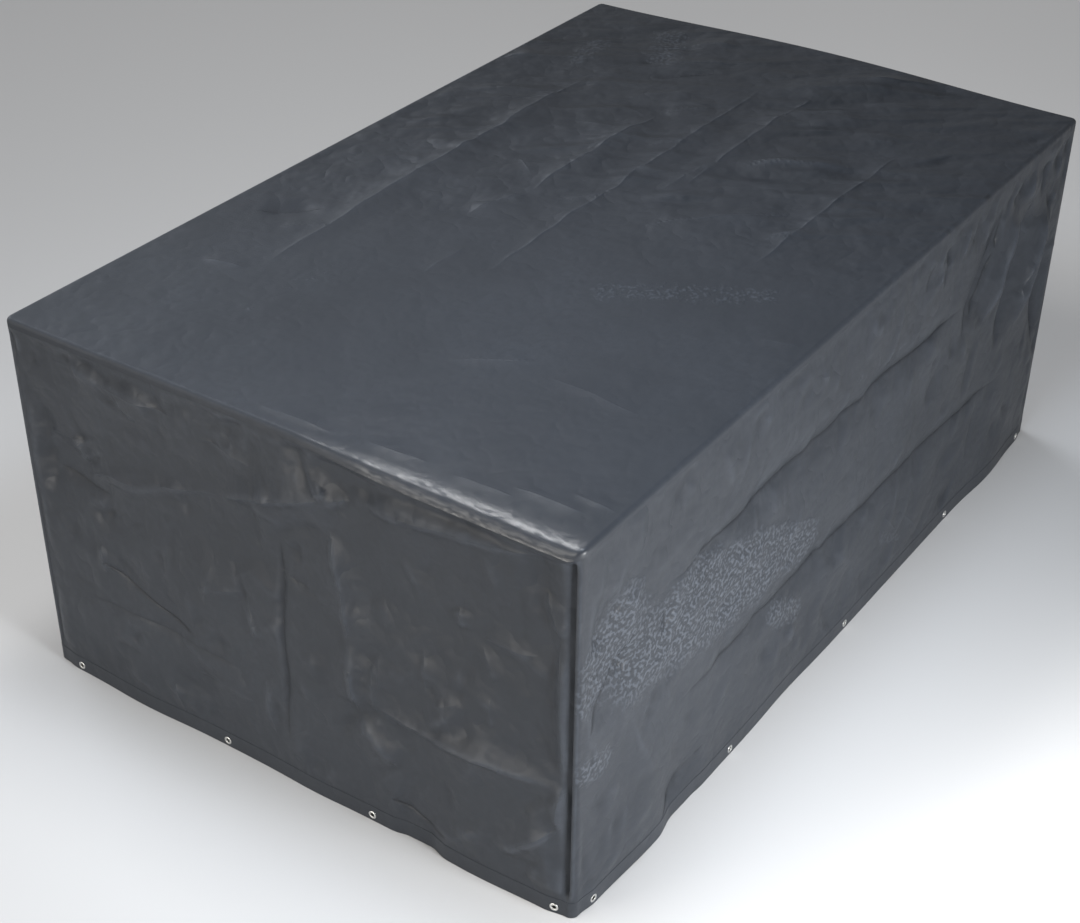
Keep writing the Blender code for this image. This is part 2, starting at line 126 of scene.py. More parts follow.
# ---------------------------------------------------------------- main folds
# They follow the solids' own, with sharper crests. Some are lower, narrower, softer or moved a
# little here. The near end's middle one is a trough, and the hollows in its upper half are wider.
TOP_FOLDS = (
    Fold((-0.645, 0.435), (0.680, 0.435), 0.020, 0.006),
    Fold((-0.195, 0.215), (-0.030, 0.165), 0.024, 0.006),
    Fold((-0.030, 0.165), (0.530, 0.145), 0.022, 0.007),
    Fold((-0.425, 0.015), (0.830, 0.010), 0.020, 0.004),
    Fold((0.200, -0.115), (0.860, -0.115), 0.022, 0.005),
    Fold((-0.050, -0.440), (0.675, -0.445), 0.020, 0.004),
    Fold((0.530, 0.145), (0.630, 0.050), 0.034, 0.004),
    Fold((0.740, -0.090), (1.040, -0.360), 0.061, -0.008),
    Fold((0.880, -0.100), (1.070, -0.300), 0.061, 0.008),
    Fold((0.680, -0.120), (0.820, -0.280), 0.034, 0.005),
    Fold((0.330, -0.180), (0.470, -0.410), 0.061, -0.006),
    Fold((0.400, -0.160), (0.540, -0.400), 0.034, 0.004),
    Fold((-0.030, -0.130), (0.240, -0.400), 0.045, 0.004),
    Fold((0.730, 0.320), (0.850, 0.150), 0.061, -0.006),
    Fold((0.800, 0.320), (0.920, 0.150), 0.034, 0.004),
    Fold((0.570, 0.280), (0.690, 0.110), 0.034, 0.003),
    Fold((0.950, 0.340), (1.030, 0.200), 0.034, 0.003),
    Fold((-0.450, 0.620), (-0.350, 0.500), 0.036, -0.003),
)
SIDE_NEAR_FOLDS = (
    Fold((-0.860, 0.642), (0.560, 0.642), 0.020, -0.008),
    Fold((-0.800, 0.312), (0.880, 0.312), 0.020, -0.008),
    Fold((-0.700, 0.480), (0.500, 0.480), 0.110, 0.006),
    Fold((-0.600, 0.780), (0.300, 0.780), 0.080, 0.005),
    Fold((-1.000, 0.760), (-1.100, 0.630), 0.036, -0.009),
    Fold((-0.920, 0.610), (-1.100, 0.450), 0.036, -0.009),
    Fold((-0.830, 0.040), (-0.640, 0.130), 0.040, -0.007),
    Fold((0.700, 0.820), (0.525, 0.540), 0.024, -0.008),
    Fold((0.800, 0.800), (0.660, 0.520), 0.022, 0.010),
    Fold((0.900, 0.800), (0.780, 0.380), 0.024, -0.013),
    Fold((1.010, 0.760), (0.890, 0.420), 0.022, 0.012),
    Fold((1.040, 0.620), (1.060, 0.280), 0.024, -0.010),
    Fold((-1.050, 0.000), (1.050, 0.000), 0.300, 0.007),
    Fold((-0.850, 0.000), (-0.850, 0.260), 0.130, 0.009),
    Fold((-0.250, 0.000), (-0.250, 0.160), 0.120, -0.004),
    Fold((0.850, 0.000), (0.850, 0.220), 0.120, 0.010),
)
END_NEAR_FOLDS = (
    Fold((0.000, 0.640), (0.000, 0.110), 0.013, 0.001),
    Fold((0.135, 0.710), (0.175, 0.450), 0.024, 0.008),
    Fold((0.175, 0.450), (0.190, 0.280), 0.024, 0.008),
    Fold((0.190, 0.280), (0.290, 0.180), 0.028, 0.008),
    Fold((0.220, 0.315), (0.690, 0.318), 0.020, 0.007),
    Fold((0.640, 0.860), (0.185, 0.800), 0.034, 0.008),
    Fold((0.185, 0.800), (-0.165, 0.660), 0.034, 0.008),
    Fold((-0.165, 0.660), (-0.560, 0.560), 0.038, 0.007),
    Fold((-0.600, 0.600), (-0.250, 0.660), 0.110, -0.014),
    Fold((-0.600, 0.560), (0.640, 0.640), 0.170, -0.012),
    Fold((-0.600, 0.840), (-0.250, 0.815), 0.024, 0.005),
    Fold((0.520, 0.090), (0.680, 0.230), 0.026, 0.007),
    Fold((0.260, 0.090), (0.420, 0.060), 0.045, -0.007),
    Fold((-0.540, 0.360), (-0.250, 0.260), 0.060, -0.006),
    Fold((-0.650, 0.000), (0.650, 0.000), 0.300, 0.007),
    Fold((-0.430, 0.000), (-0.430, 0.220), 0.120, 0.007),
    Fold((0.060, 0.000), (0.060, 0.180), 0.090, 0.004),
    Fold((0.480, 0.000), (0.480, 0.220), 0.110, 0.006),
)
SIDE_FAR_FOLDS = (
    Fold((-0.900, 0.642), (0.900, 0.642), 0.020, -0.007),
    Fold((-0.900, 0.312), (0.900, 0.312), 0.020, -0.007),
    Fold((-0.700, 0.480), (0.700, 0.480), 0.110, 0.005),
    Fold((-1.050, 0.000), (1.050, 0.000), 0.300, 0.006),
    Fold((-0.500, 0.000), (-0.500, 0.220), 0.130, 0.007),
    Fold((0.450, 0.000), (0.450, 0.220), 0.130, 0.007),
)
END_FAR_FOLDS = (
    Fold((0.000, 0.780), (0.000, 0.110), 0.020, 0.006),
    Fold((-0.600, 0.315), (0.600, 0.315), 0.020, 0.006),
    Fold((-0.650, 0.000), (0.650, 0.000), 0.300, 0.006),
    Fold((-0.350, 0.000), (-0.350, 0.220), 0.120, 0.007),
    Fold((0.350, 0.000), (0.350, 0.220), 0.120, 0.007),
)

# ---------------------------------------------------------------- finer creases laid over them
TOP_CREASES = (
    Fold((-0.480, 0.125), (-0.325, 0.126), 0.010, 0.0020, 0.4),
    Fold((0.160, -0.080), (0.370, -0.112), 0.014, 0.0030, 0.5),
    Fold((0.375, -0.165), (0.525, -0.385), 0.012, 0.0030, -0.5),
    Fold((0.675, -0.100), (0.815, -0.265), 0.013, 0.0028, -0.4),
    Fold((0.725, 0.305), (0.845, 0.155), 0.012, -0.0030, 0.4),
    Fold((0.945, 0.315), (1.025, 0.215), 0.011, 0.0026, -0.4),
    Fold((0.575, 0.265), (0.675, 0.135), 0.011, 0.0024, -0.4),
    Fold((0.500, 0.165), (0.525, 0.300), 0.010, 0.0018, 0.4),
    Fold((0.380, 0.300), (0.390, 0.185), 0.009, 0.0020, 0.5),
    Fold((0.120, 0.295), (0.060, 0.210), 0.011, 0.0022, 0.4),
    Fold((0.020, 0.215), (-0.060, 0.330), 0.011, 0.0018, 0.4),
    Fold((-0.695, 0.555), (-0.670, 0.450), 0.010, 0.0024, 0.6),
    Fold((-0.440, 0.610), (-0.355, 0.515), 0.012, -0.0026, 0.4),
    Fold((-0.480, 0.525), (-0.410, 0.445), 0.012, 0.0020, 0.3),
    Fold((0.450, 0.480), (0.500, 0.435), 0.011, 0.0024, 0.4),
    Fold((-0.740, -0.140), (-0.640, -0.280), 0.014, 0.0016, 0.5),
    Fold((-0.680, -0.340), (-0.690, -0.560), 0.012, 0.0012, 0.5),
    Fold((-0.300, -0.600), (-0.290, -0.690), 0.010, 0.0014, 0.5),
    Fold((0.080, -0.400), (0.140, -0.440), 0.012, 0.0024, 0.5),
    Fold((0.400, -0.470), (0.440, -0.520), 0.011, 0.0022, 0.5),
    Fold((0.680, -0.350), (0.720, -0.420), 0.012, 0.0024, 0.5),
    Fold((-0.010, 0.080), (0.060, 0.010), 0.012, 0.0024, 0.5),
    Fold((0.345, 0.080), (0.410, 0.000), 0.012, 0.0026, 0.5),
    Fold((0.210, 0.040), (0.260, -0.090), 0.014, 0.0022, 0.5),
    Fold((-0.985, -0.600), (-0.990, -0.700), 0.007, 0.0016, 0.5),
    Fold((-1.030, -0.500), (-1.022, -0.655), 0.007, 0.0016, 0.5),
    Fold((-1.066, -0.190), (-1.058, -0.330), 0.008, 0.0018, 0.5),
    Fold((-1.084, 0.060), (-1.074, -0.130), 0.008, 0.0018, 0.5),
    Fold((-1.062, -0.380), (-1.054, -0.520), 0.007, 0.0014, 0.5),
)
SIDE_NEAR_CREASES = (
    Fold((0.345, 0.845), (0.365, 0.790), 0.014, -0.0034),
    Fold((0.405, 0.850), (0.400, 0.800), 0.014, -0.0034),
    Fold((0.700, 0.830), (0.683, 0.723), 0.012, -0.0040, -0.5),
    Fold((0.683, 0.723), (0.590, 0.578), 0.012, -0.0036, -0.5),
    Fold((0.773, 0.760), (0.665, 0.527), 0.014, 0.0036, 0.5),
    Fold((0.880, 0.752), (0.824, 0.597), 0.013, -0.0044, -0.5),
    Fold((0.824, 0.597), (0.774, 0.384), 0.014, -0.0040, -0.5),
    Fold((0.991, 0.660), (0.899, 0.531), 0.013, 0.0040, 0.5),
    Fold((0.899, 0.531), (0.893, 0.420), 0.013, 0.0034, 0.4),
    Fold((1.044, 0.526), (1.060, 0.346), 0.013, -0.0036, -0.5),
    Fold((0.987, 0.836), (0.927, 0.780), 0.010, -0.0034, 0.4),
    Fold((1.039, 0.739), (0.970, 0.670), 0.010, -0.0036, -0.4),
    Fold((1.052, 0.735), (0.985, 0.665), 0.010, 0.0034, 0.4),
    Fold((1.070, 0.830), (1.000, 0.700), 0.010, 0.0030, 0.4),
    Fold((0.930, 0.840), (0.860, 0.760), 0.011, 0.0034, 0.4),
    Fold((0.820, 0.860), (0.760, 0.800), 0.011, -0.0034, 0.4),
    Fold((0.420, 0.860), (0.370, 0.750), 0.011, -0.0040, -0.5),
    Fold((0.385, 0.850), (0.330, 0.760), 0.012, 0.0036, 0.5),
    Fold((0.500, 0.860), (0.470, 0.790), 0.011, 0.0030, 0.5),
    Fold((0.560, 0.860), (0.520, 0.800), 0.012, -0.0034, 0.5),
    Fold((0.300, 0.850), (0.270, 0.790), 0.012, -0.0030, 0.5),
    Fold((0.210, 0.400), (0.240, 0.330), 0.011, 0.0022, 0.4),
    Fold((-1.005, 0.775), (-1.095, 0.655), 0.012, 0.0026, 0.5),
    Fold((-0.930, 0.625), (-1.090, 0.480), 0.013, 0.0026, 0.5),
    Fold((-0.240, 0.815), (-0.200, 0.800), 0.009, 0.0020),
    Fold((-0.800, 0.060), (-0.680, 0.120), 0.012, -0.0024, 0.4),
    Fold((0.200, 0.220), (0.270, 0.150), 0.012, 0.0022, 0.4),
    Fold((0.300, 0.180), (0.430, 0.060), 0.012, 0.0020, 0.4),
)
END_NEAR_CREASES = (
    Fold((0.000, 0.650), (0.000, 0.100), 0.007, -0.0034, 0.5),
    Fold((0.130, 0.710), (0.160, 0.560), 0.008, 0.0030, 0.5),
    Fold((0.160, 0.560), (0.172, 0.400), 0.008, 0.0024, 0.5),
    Fold((0.172, 0.400), (0.190, 0.290), 0.009, 0.0026, 0.5),
    Fold((0.190, 0.290), (0.270, 0.210), 0.012, 0.0032, -0.6),
    Fold((0.215, 0.312), (0.360, 0.318), 0.009, 0.0026, 0.5),
    Fold((0.330, 0.316), (0.690, 0.328), 0.008, 0.0032, 0.5),
    Fold((0.230, 0.300), (0.235, 0.440), 0.009, 0.0028, -0.5),
    Fold((0.245, 0.460), (0.248, 0.360), 0.008, 0.0020, 0.5),
    Fold((0.355, 0.520), (0.360, 0.400), 0.008, 0.0022, 0.5),
    Fold((0.440, 0.650), (0.445, 0.600), 0.010, 0.0036, 0.5),
    Fold((0.490, 0.600), (0.620, 0.620), 0.009, 0.0028, 0.4),
    Fold((0.490, 0.580), (0.520, 0.510), 0.009, 0.0022, 0.4),
    Fold((0.510, 0.470), (0.515, 0.400), 0.009, 0.0020, 0.4),
    Fold((0.380, 0.390), (0.440, 0.420), 0.009, 0.0018, 0.4),
    Fold((-0.105, 0.450), (-0.085, 0.330), 0.010, 0.0026, 0.5),
    Fold((-0.060, 0.250), (-0.040, 0.110), 0.012, 0.0026, -0.5),
    Fold((-0.330, 0.120), (-0.310, 0.030), 0.012, 0.0028, 0.5),
    Fold((-0.520, 0.400), (-0.515, 0.320), 0.012, 0.0024, 0.5),
    Fold((-0.200, 0.480), (-0.220, 0.360), 0.012, 0.0020, 0.5),
    Fold((-0.240, 0.400), (-0.120, 0.445), 0.010, 0.0020, 0.5),
    Fold((-0.600, 0.250), (-0.120, 0.242), 0.014, -0.0020, 0.5),
    Fold((-0.270, 0.180), (-0.080, 0.170), 0.020, 0.0030, 0.5),
    Fold((0.635, 0.780), (0.670, 0.680), 0.011, 0.0046, 0.5),
    Fold((0.670, 0.680), (0.680, 0.350), 0.009, 0.0040, 0.5),
    Fold((0.680, 0.350), (0.672, 0.220), 0.009, 0.0034, 0.5),
    Fold((0.540, 0.095), (0.665, 0.215), 0.010, 0.0034, 0.5),
    Fold((0.630, 0.860), (0.180, 0.790), 0.010, 0.0032, -0.5),
    Fold((0.190, 0.800), (0.120, 0.762), 0.010, 0.0036, -0.5),
    Fold((0.100, 0.765), (-0.160, 0.665), 0.010, 0.0034, -0.5),
    Fold((-0.150, 0.668), (-0.510, 0.555), 0.012, 0.0034, -0.5),
    Fold((-0.570, 0.655), (-0.540, 0.590), 0.018, 0.0060, 0.5),
    Fold((-0.640, 0.640), (-0.545, 0.650), 0.020, 0.0040, 0.5),
    Fold((-0.640, 0.550), (-0.480, 0.535), 0.020, -0.0036, 0.5),
    Fold((-0.580, 0.850), (-0.260, 0.815), 0.011, 0.0030, -0.5),
    Fold((-0.420, 0.800), (-0.370, 0.765), 0.009, 0.0026, 0.5),
    Fold((-0.200, 0.790), (-0.060, 0.780), 0.012, 0.0022, 0.5),
    Fold((0.100, 0.780), (0.130, 0.800), 0.010, 0.0030, 0.5),
    Fold((0.010, 0.540), (0.070, 0.530), 0.009, -0.0020, 0.5),
)

# ---------------------------------------------------------------- where the tape weave glitters: a worm-like relief, and painted glint flecks in its colour
# Here and in the next table, a row's height says how strongly.
SIDE_NEAR_GLITTER = (
    Fold((-1.060, 0.620), (-0.960, 0.680), 0.060, 1.0),
    Fold((-1.095, 0.540), (-1.050, 0.560), 0.040, 0.9),
    Fold((-0.920, 0.530), (-0.600, 0.480), 0.095, 1.2),
    Fold((-0.720, 0.560), (-0.450, 0.440), 0.070, 1.0),
    Fold((-0.470, 0.500), (-0.230, 0.400), 0.060, 1.1),
    Fold((-0.340, 0.270), (-0.240, 0.220), 0.034, 1.0),
    Fold((-1.095, 0.370), (-1.040, 0.360), 0.036, 0.9),
    Fold((0.210, 0.160), (0.280, 0.120), 0.034, 0.5),
    Fold((-0.050, 0.720), (0.240, 0.690), 0.040, 0.35),
)
TOP_GLITTER = (
    Fold((0.850, 0.330), (1.000, 0.400), 0.060, 0.7),
    Fold((0.720, 0.520), (0.860, 0.540), 0.050, 0.6),
    Fold((-0.320, -0.240), (-0.140, -0.520), 0.070, 0.45),
    Fold((-0.800, 0.330), (-0.560, 0.300), 0.050, 0.3),
)

# ---------------------------------------------------------------- where rubbing has polished it
TOP_POLISH = (
    Fold((-1.118, -0.700), (-1.116, -0.250), 0.030, 1.0),
    Fold((-1.112, -0.260), (-1.112, -0.100), 0.014, 0.6),
    Fold((-1.060, -0.640), (-1.030, -0.300), 0.040, 0.12),
)

SIDE_EYELETS = (-1.063, -0.516, 0.033, 0.595, 1.055)
END_EYELETS = (-0.635, -0.189, 0.214, 0.671)


class Wall(NamedTuple):
    """An upright face. turn is its angle about Z, counted from the near long side."""

    name: str
    turn: float
    half_run: float
    half_depth: float
    wraps: bool  # a side panel goes round the corners, an end panel fits between
    pitch: float
    crease_rows: tuple
    crease_columns: tuple
    folds: tuple
    eyelets: tuple
    seed: int
    puckered: tuple  # under the top seam it puckers more and more from the first run to the second
    grooves: tuple  # how deep the seams lie at its low and high end
    creases: tuple = ()
    glitter: tuple = ()
    hang: float = 86.0  # degrees: the way that its small folds run


SIDE = {
    "half_run": HALF_X,
    "half_depth": HALF_Y,
    "wraps": True,
    "crease_rows": (0.642, 0.312),
    "crease_columns": (),
    "eyelets": SIDE_EYELETS,
}
END = {
    "half_run": HALF_Y,
    "half_depth": HALF_X,
    "wraps": False,
    "crease_rows": (0.316,),
    "crease_columns": (-0.69, 0.0, 0.69),
    "eyelets": END_EYELETS,
}
EVEN = {"puckered": (-1.0, 1.0), "grooves": (GROOVE_SHALLOW, GROOVE_SHALLOW)}
WALLS = (
    Wall(
        "side_near", turn=0, pitch=0.0067, folds=SIDE_NEAR_FOLDS, creases=SIDE_NEAR_CREASES,
        glitter=SIDE_NEAR_GLITTER, puckered=(0.0, 0.5), grooves=(GROOVE_DEEP, GROOVE_SHALLOW),
        seed=11, hang=70.0, **SIDE,
    ),
    Wall("side_far", turn=180, pitch=0.0100, folds=SIDE_FAR_FOLDS, seed=12, **EVEN, **SIDE),
    Wall(
        "end_near", turn=-90, pitch=0.0057, folds=END_NEAR_FOLDS, creases=END_NEAR_CREASES,
        puckered=(0.9, -0.9), grooves=(GROOVE_SHALLOW, GROOVE_DEEP), seed=13, **END,
    ),
    Wall("end_far", turn=90, pitch=0.0095, folds=END_FAR_FOLDS, seed=14, **EVEN, **END),
)

# ---------------------------------------------------------------- how the whole cover settles
CORNER_MOVES = {
    # (x side, y side, 1 at the top or 0 at the hem): the corner's move from the plain box
    (-1, +1, 1): (-0.006, 0.005, 0.000),
    (+1, +1, 1): (0.004, 0.000, 0.009),
    (+1, -1, 1): (0.011, -0.002, 0.018),
    (-1, -1, 1): (-0.002, 0.000, -0.001),
    (-1, +1, 0): (0.004, -0.003, 0.000),
    (-1, -1, 0): (0.001, -0.003, 0.001),
    (+1, -1, 0): (-0.008, -0.001, 0.000),
    (+1, +1, 0): (-0.006, -0.002, 0.001),
}
CROWN = 0.016  # the top's middle stands up by this at the far end
CROWN_NEAR_SHARE = 0.25  # and by this share of it at the near end
CROWN_FROM = -0.4  # in half lengths: it grows from here to the far end
DROOP = 0.011  # the top hangs this far over its near end, beside the near corner
DROOP_REACH = 0.048  # on the top
DROOP_DROP = 0.12  # and down the wall
DROOP_GROWTH = 0.35  # it grows over this distance from the end's middle towards that corner
DROOP_CORNER = 0.025  # and fades over this last distance to it
BULGE = 0.010  # the cloth stands out this far there, just under the edge
BULGE_ELSEWHERE = 0.004  # and this far along the rest of the near end
BULGE_BELOW = 0.016  # its middle lies this far below the edge

# ---------------------------------------------------------------- how folds look
BROAD = 0.060  # wider folds than this are soft swells
CREST = 0.008  # a sharp fold is rounded over this distance
FLANK = 3.4  # and reaches so many half widths out
FOLD_REACH = 5.5  # no fold reaches further than so many half widths
TAPER = 0.33  # it fades over this share of its length at each end
CREASE_TAPER = 0.3  # and so do smaller ones over these
CRINKLE_TAPER = 0.45
PUCKER_TAPER = 0.4
END_WIDTH = 0.4  # a sharp fold is this share as wide at its ends as in its middle
MAIN_SHARE = 1.9  # a main fold's sharp crest is so many times its table's height
BEND = 60  # a relief whose slope changes by this much a metre counts as sharp
WANDER = 0.0028  # folds stray sideways by about this
WANDER_LENGTH = 0.17
WAVE_HEIGHT = 0.0022  # slow waves that the whole cloth lies in
TOP_WAVE_LENGTH = 0.30
WALL_WAVE_LENGTH = 0.24
SWELL_WAVES = 12  # plane waves are added to make such an uneven swell
SWELL_TURN = 0.2  # their directions stray by up to this, in radians
SWELL_LENGTHS = (0.7, 1.5)  # and their lengths lie between these shares of the swell's own
SWELL_PHASE = 6.3  # about a full turn

# ---------------------------------------------------------------- the sharp lines of creases
LINE_TAPER = 0.14  # a crease's sharp line fades over this share of its length at each end
LINE_SAME = 0.006  # lines closer than this are one
LINE_REACH = 0.018  # the material draws a crease's sharp line no further from it than this
LINE_FADE = 0.008  # and fades it over this last distance
LINE_APART = 0.009  # it leaves out a line where another's distance differs by less than this
LINE_GAP = 0.006  # and fades it in over this much more
LINE_HIGHEST = 0.0045
LINE_WIDTH = 0.005  # a drawn line's relief and its painted shade fall to a third over this distance
RIDGE_WEAR_AND_HIGHLIGHT_WIDTH = 0.0012  # and the pale line on a ridge, part wear and part painted highlight, over this one
LINE_DEPTH = 0.5  # a drawn line's relief is this share of its crease's height

# ---------------------------------------------------------------- the coating's fine relief, metres
DENT_DEPTH = 0.009
FACET_DEPTH = 0.012
WRINKLE_DEPTH = 0.003
RIPPLE_DEPTH = 0.022
CRINKLE_DEPTH = 0.0003
WORM_DEPTH = 0.0022
SCRATCH_DEPTH = 0.00008
WRINKLES_PER_METRE = (26, 8, 1)  # across and along the grain
RIPPLES_PER_METRE = (17, 2.8, 1)
RUB_PER_METRE = (150, 40, 1)  # along and across the cover
RIDGED = "RIDGED_MULTIFRACTAL"


# ---------------------------------------------------------------- small folds thrown at random
class Scatter(NamedTuple):
    """Small folds at random places.

    number is how many there are, on a wall in each metre of its run. They run along heading,
    in degrees, or along the wall's own hang where that is None, give or take about spread.
    """

    number: float
    heading: float
    spread: float
    lengths: tuple
    half_widths: tuple
    seed: int  # added to the face's own


TOP_SEED = 21
TOP_CRINKLES = Scatter(190, -56, 13, (0.12, 0.34), (0.010, 0.018), 0)
TOP_CROSSING = Scatter(70, -20, 25, (0.06, 0.16), (0.009, 0.016), 1)
TOP_CROSSING_LOW = (-0.4, -0.7)  # they lie from here to the far corner
WALL_CRINKLES = (
    Scatter(55, None, 16, (0.06, 0.24), (0.009, 0.020), 0),
    Scatter(27.5, 35, 22, (0.05, 0.16), (0.009, 0.018), 50),
    Scatter(27.5, -20, 25, (0.05, 0.16), (0.009, 0.018), 90),
)
SEAM_PUCKERS = Scatter(32, None, 12, (0.05, 0.12), (0.006, 0.011), 30)
PUCKER_BAND = (0.085, 0.025)  # how far below the top seam their middles lie
PUCKER_LEAST = 0.25  # share of their height where a wall puckers least
LEAST_HEIGHT = 0.35  # the lowest of them has this share of the highest one's height
MOST_LEAN = 0.6
TOP_WAVE_SEED = TOP_SEED + 2
TOP_STRAY_SEED = TOP_SEED + 3
WALL_WAVE_SEED = 20  # these two are added to a wall's own
WALL_STRAY_SEED = 40

# ---------------------------------------------------------------- where the cloth hangs slack
SLACK_FROM = -0.35  # on the top's middle line: here it starts to hang slack
SLACK_TO = 0.25  # and from here on it does wholly
SLACK_SLANT = 0.25  # both lie nearer to the near end by this share of the way across
SMOOTH_CRINKLES = 0.15  # share of the crinkles' height where the top is drawn smooth
SMOOTH_WAVES = 0.25  # and of the waves'
WALL_SLACK = 0.5  # the walls are half as slack all over
TOP_WRINKLE_HEADING = -56.0  # degrees: the way that the top's fine wrinkles run

# ---------------------------------------------------------------- camera and floor
CAMERA_AT = (-3.4731, -2.2006, 2.9110)
CAMERA_AZIMUTH = math.radians(-56.043)
CAMERA_ELEVATION = math.radians(33.269)
CAMERA_ROLL = math.radians(0.940)
CAMERA_LENS_MM = 65.983
CAMERA_SENSOR_MM = 36.0
CAMERA_SEES = 200.0  # metres

FLOOR_HALF = 40.0
DOMES_AT = (0, 0, 3)  # a dome's own place, which its light doesn't depend on


# ---------------------------------------------------------------- light
class Dome(NamedTuple):
    """Soft light from a wide patch of the sky, at an azimuth from +X and an elevation, in degrees."""

    name: str
    azimuth: float
    elevation: float
    width: float
    strength: float
    colour: tuple = (1, 1, 1)


class SoftBox(NamedTuple):
    """A rectangular light at a place, turned towards another: sizes, power in watts, spread in degrees."""

    name: str
    at: tuple
    towards: tuple
    size: tuple
    power: float
    colour: tuple = (1, 1, 1)
    spread: float = 180


DOMES = (
    Dome("dome_end", 138, 28, 38, 1.05, (1.05, 1.0, 0.93)),
    Dome("dome_back", 75, 25, 38, 1.12, (0.94, 1.0, 1.10)),
)
SOFT_BOXES = (
    SoftBox("box_side", (-1.2, -2.7, 0.8), (-0.2, -0.7, 0.4), (1.0, 0.6), 61.0, spread=140),
    SoftBox("box_end", (-4.2, 0.4, 0.5), (-1.1, 0.1, 0.4), (2.0, 0.6), 30.0, (1.05, 1.0, 0.93), spread=120),
    SoftBox("box_near", (-1.0, -0.65, 2.6), (-0.7, -0.5, 0.9), (0.7, 0.7), 27.0, (0.88, 1.0, 1.16)),
    SoftBox("box_edge", (-0.57, 0.50, 2.82), (-1.11, -0.50, 0.90), (0.8, 0.35), 26.0),
    SoftBox("box_over_far", (1.6, 1.0, 3.2), (1.0, 0.6, 0.5), (1.6, 1.6), 7.0),
    SoftBox("box_behind", (1.8, 3.4, 2.6), (0.2, 0.4, 0.9), (2.4, 1.6), 3.0),
)


# ---------------------------------------------------------------- settings that a user would change
class ClothSettings(bpy.types.PropertyGroup):
    """The cover's cloth: its finish and how crumpled it is."""

    colour: FloatVectorProperty(
        name="Colour", description="Main colour of the coated cloth",
        default=(0.029, 0.033, 0.040), subtype="COLOR", min=0, max=1,
    )
    roughness: FloatProperty(
        name="Roughness", description="How dull the coating is",
        default=0.42, min=0, max=1, subtype="FACTOR",
    )
    gloss: FloatProperty(
        name="Gloss", description="How strongly the coating reflects",
        default=0.20, min=0, max=1, subtype="FACTOR",
    )
    edge_roughness: FloatProperty(
        name="Edge Roughness", description="How dull the coating is where rubbing has polished it",
        default=0.20, min=0, max=1, subtype="FACTOR",
    )
    tape: FloatProperty(
        name="Tape Width", description="Width of the woven tapes under the coating",
        default=0.0026, min=0.001, max=0.01, unit="LENGTH",
    )
    weave_depth: FloatProperty(
        name="Weave Depth", description="Height of the weave that shows through the coating",
        default=0.00012, min=0, max=0.001, precision=5, unit="LENGTH",
    )
    crease_share: FloatProperty(
        name="Crease Height", description="Share of the fine creases' full height",
        default=1.5, min=0, max=3, subtype="FACTOR",
    )
    crinkle: FloatProperty(
        name="Crinkle Height", description="Height of the scattered crinkles",
        default=0.0055, min=0, max=0.01, precision=4, unit="LENGTH",
    )
    pucker: FloatProperty(
        name="Seam Pucker", description="Height of the small folds under the top seam",
        default=0.0025, min=0, max=0.006, precision=4, unit="LENGTH",
    )


class EyeletSettings(bpy.types.PropertyGroup):
    """The pressed metal eyelets."""

    colour: FloatVectorProperty(
        name="Colour", description="Colour of the plated metal",
        default=(0.74, 0.74, 0.72), subtype="COLOR", min=0, max=1,
    )
    roughness: FloatProperty(
        name="Roughness", description="How dull the metal is",
        default=0.28, min=0, max=1, subtype="FACTOR",
    )


class StageSettings(bpy.types.PropertyGroup):
    """Floor and light."""

    floor: FloatVectorProperty(
        name="Floor", description="Colour of the floor",
        default=(0.62, 0.62, 0.62), subtype="COLOR", min=0, max=1,
    )
    sky: FloatProperty(
        name="Sky", description="Strength of the light from all round", default=0.20, min=0, max=5,
    )
    lights: FloatProperty(
        name="Lights", description="Share of the studio lights' own strengths",
        default=1.0, min=0, max=5,
    )


# ---------------------------------------------------------------- shape, as whole arrays
def smooth_step(value):
    """0 below 0, 1 above 1, and three squares less two cubes between."""
    t = np.clip(value, 0, 1)
    return t * t * (3 - 2 * t)


def drooped(points):
    """Points of the plain box, moved where the top hangs over its near end beside the near corner.

    The sink is the cube of what is left of its reach on the top, and the square of it down the
    wall. The bulge is a bell curve over the depth below the top, and carries the edge out with it.
    """
    x, y, z = points.T
    inside = np.clip(x + LENGTH / 2, 0, None)
    below = np.clip(TOP_Z - z, 0, None)
    between = smooth_step((WIDTH / 2 - abs(y)) / DROOP_CORNER)
    along = smooth_step(-y / DROOP_GROWTH)
    left = np.clip(1 - inside / DROOP_REACH, 0, 1) ** 3 * np.clip(1 - below / DROOP_DROP, 0, 1) ** 2
    sink = DROOP * along * between * left
    bell = np.exp(-(((below - BULGE_BELOW) / BULGE_BELOW) ** 2))
    bulge = BULGE_ELSEWHERE + (BULGE - BULGE_ELSEWHERE) * along
    out = bulge * between * bell * np.clip(1 - inside / DROOP_REACH, 0, 1)
    return points - np.column_stack([out, np.zeros(len(points)), sink])


def settled(points):
    """Points of the plain box after its corners have moved and its top has crowned.

    Each point follows the eight corners in the shares that a box's own coordinates give, and
    rises by a squared cosine across the width that grows along the length and with height.
    """
    sides = points / (LENGTH / 2, WIDTH / 2, HEIGHT)
    moved = drooped(points)
    for (x_side, y_side, level), move in CORNER_MOVES.items():
        up = sides[:, 2] if level else 1 - sides[:, 2]
        share = (1 + x_side * sides[:, 0]) / 2 * (1 + y_side * sides[:, 1]) / 2 * up
        moved += share[:, None] * np.array(move)
    across = np.cos(np.clip(sides[:, 1], -1, 1) * math.pi / 2) ** 2
    along = smooth_step((sides[:, 0] - CROWN_FROM) / (1 - CROWN_FROM))
    along = CROWN_NEAR_SHARE + (1 - CROWN_NEAR_SHARE) * along
    moved[:, 2] += CROWN * across * along * sides[:, 2]
    return moved + CENTRING


def near_fold(places, fold, reach):
    """The indices of the places within reach of a fold's own box."""
    low = np.minimum(fold.start, fold.end) - reach
    high = np.maximum(fold.start, fold.end) + reach
    return np.flatnonzero(np.all((places > low) & (places < high), axis=1))


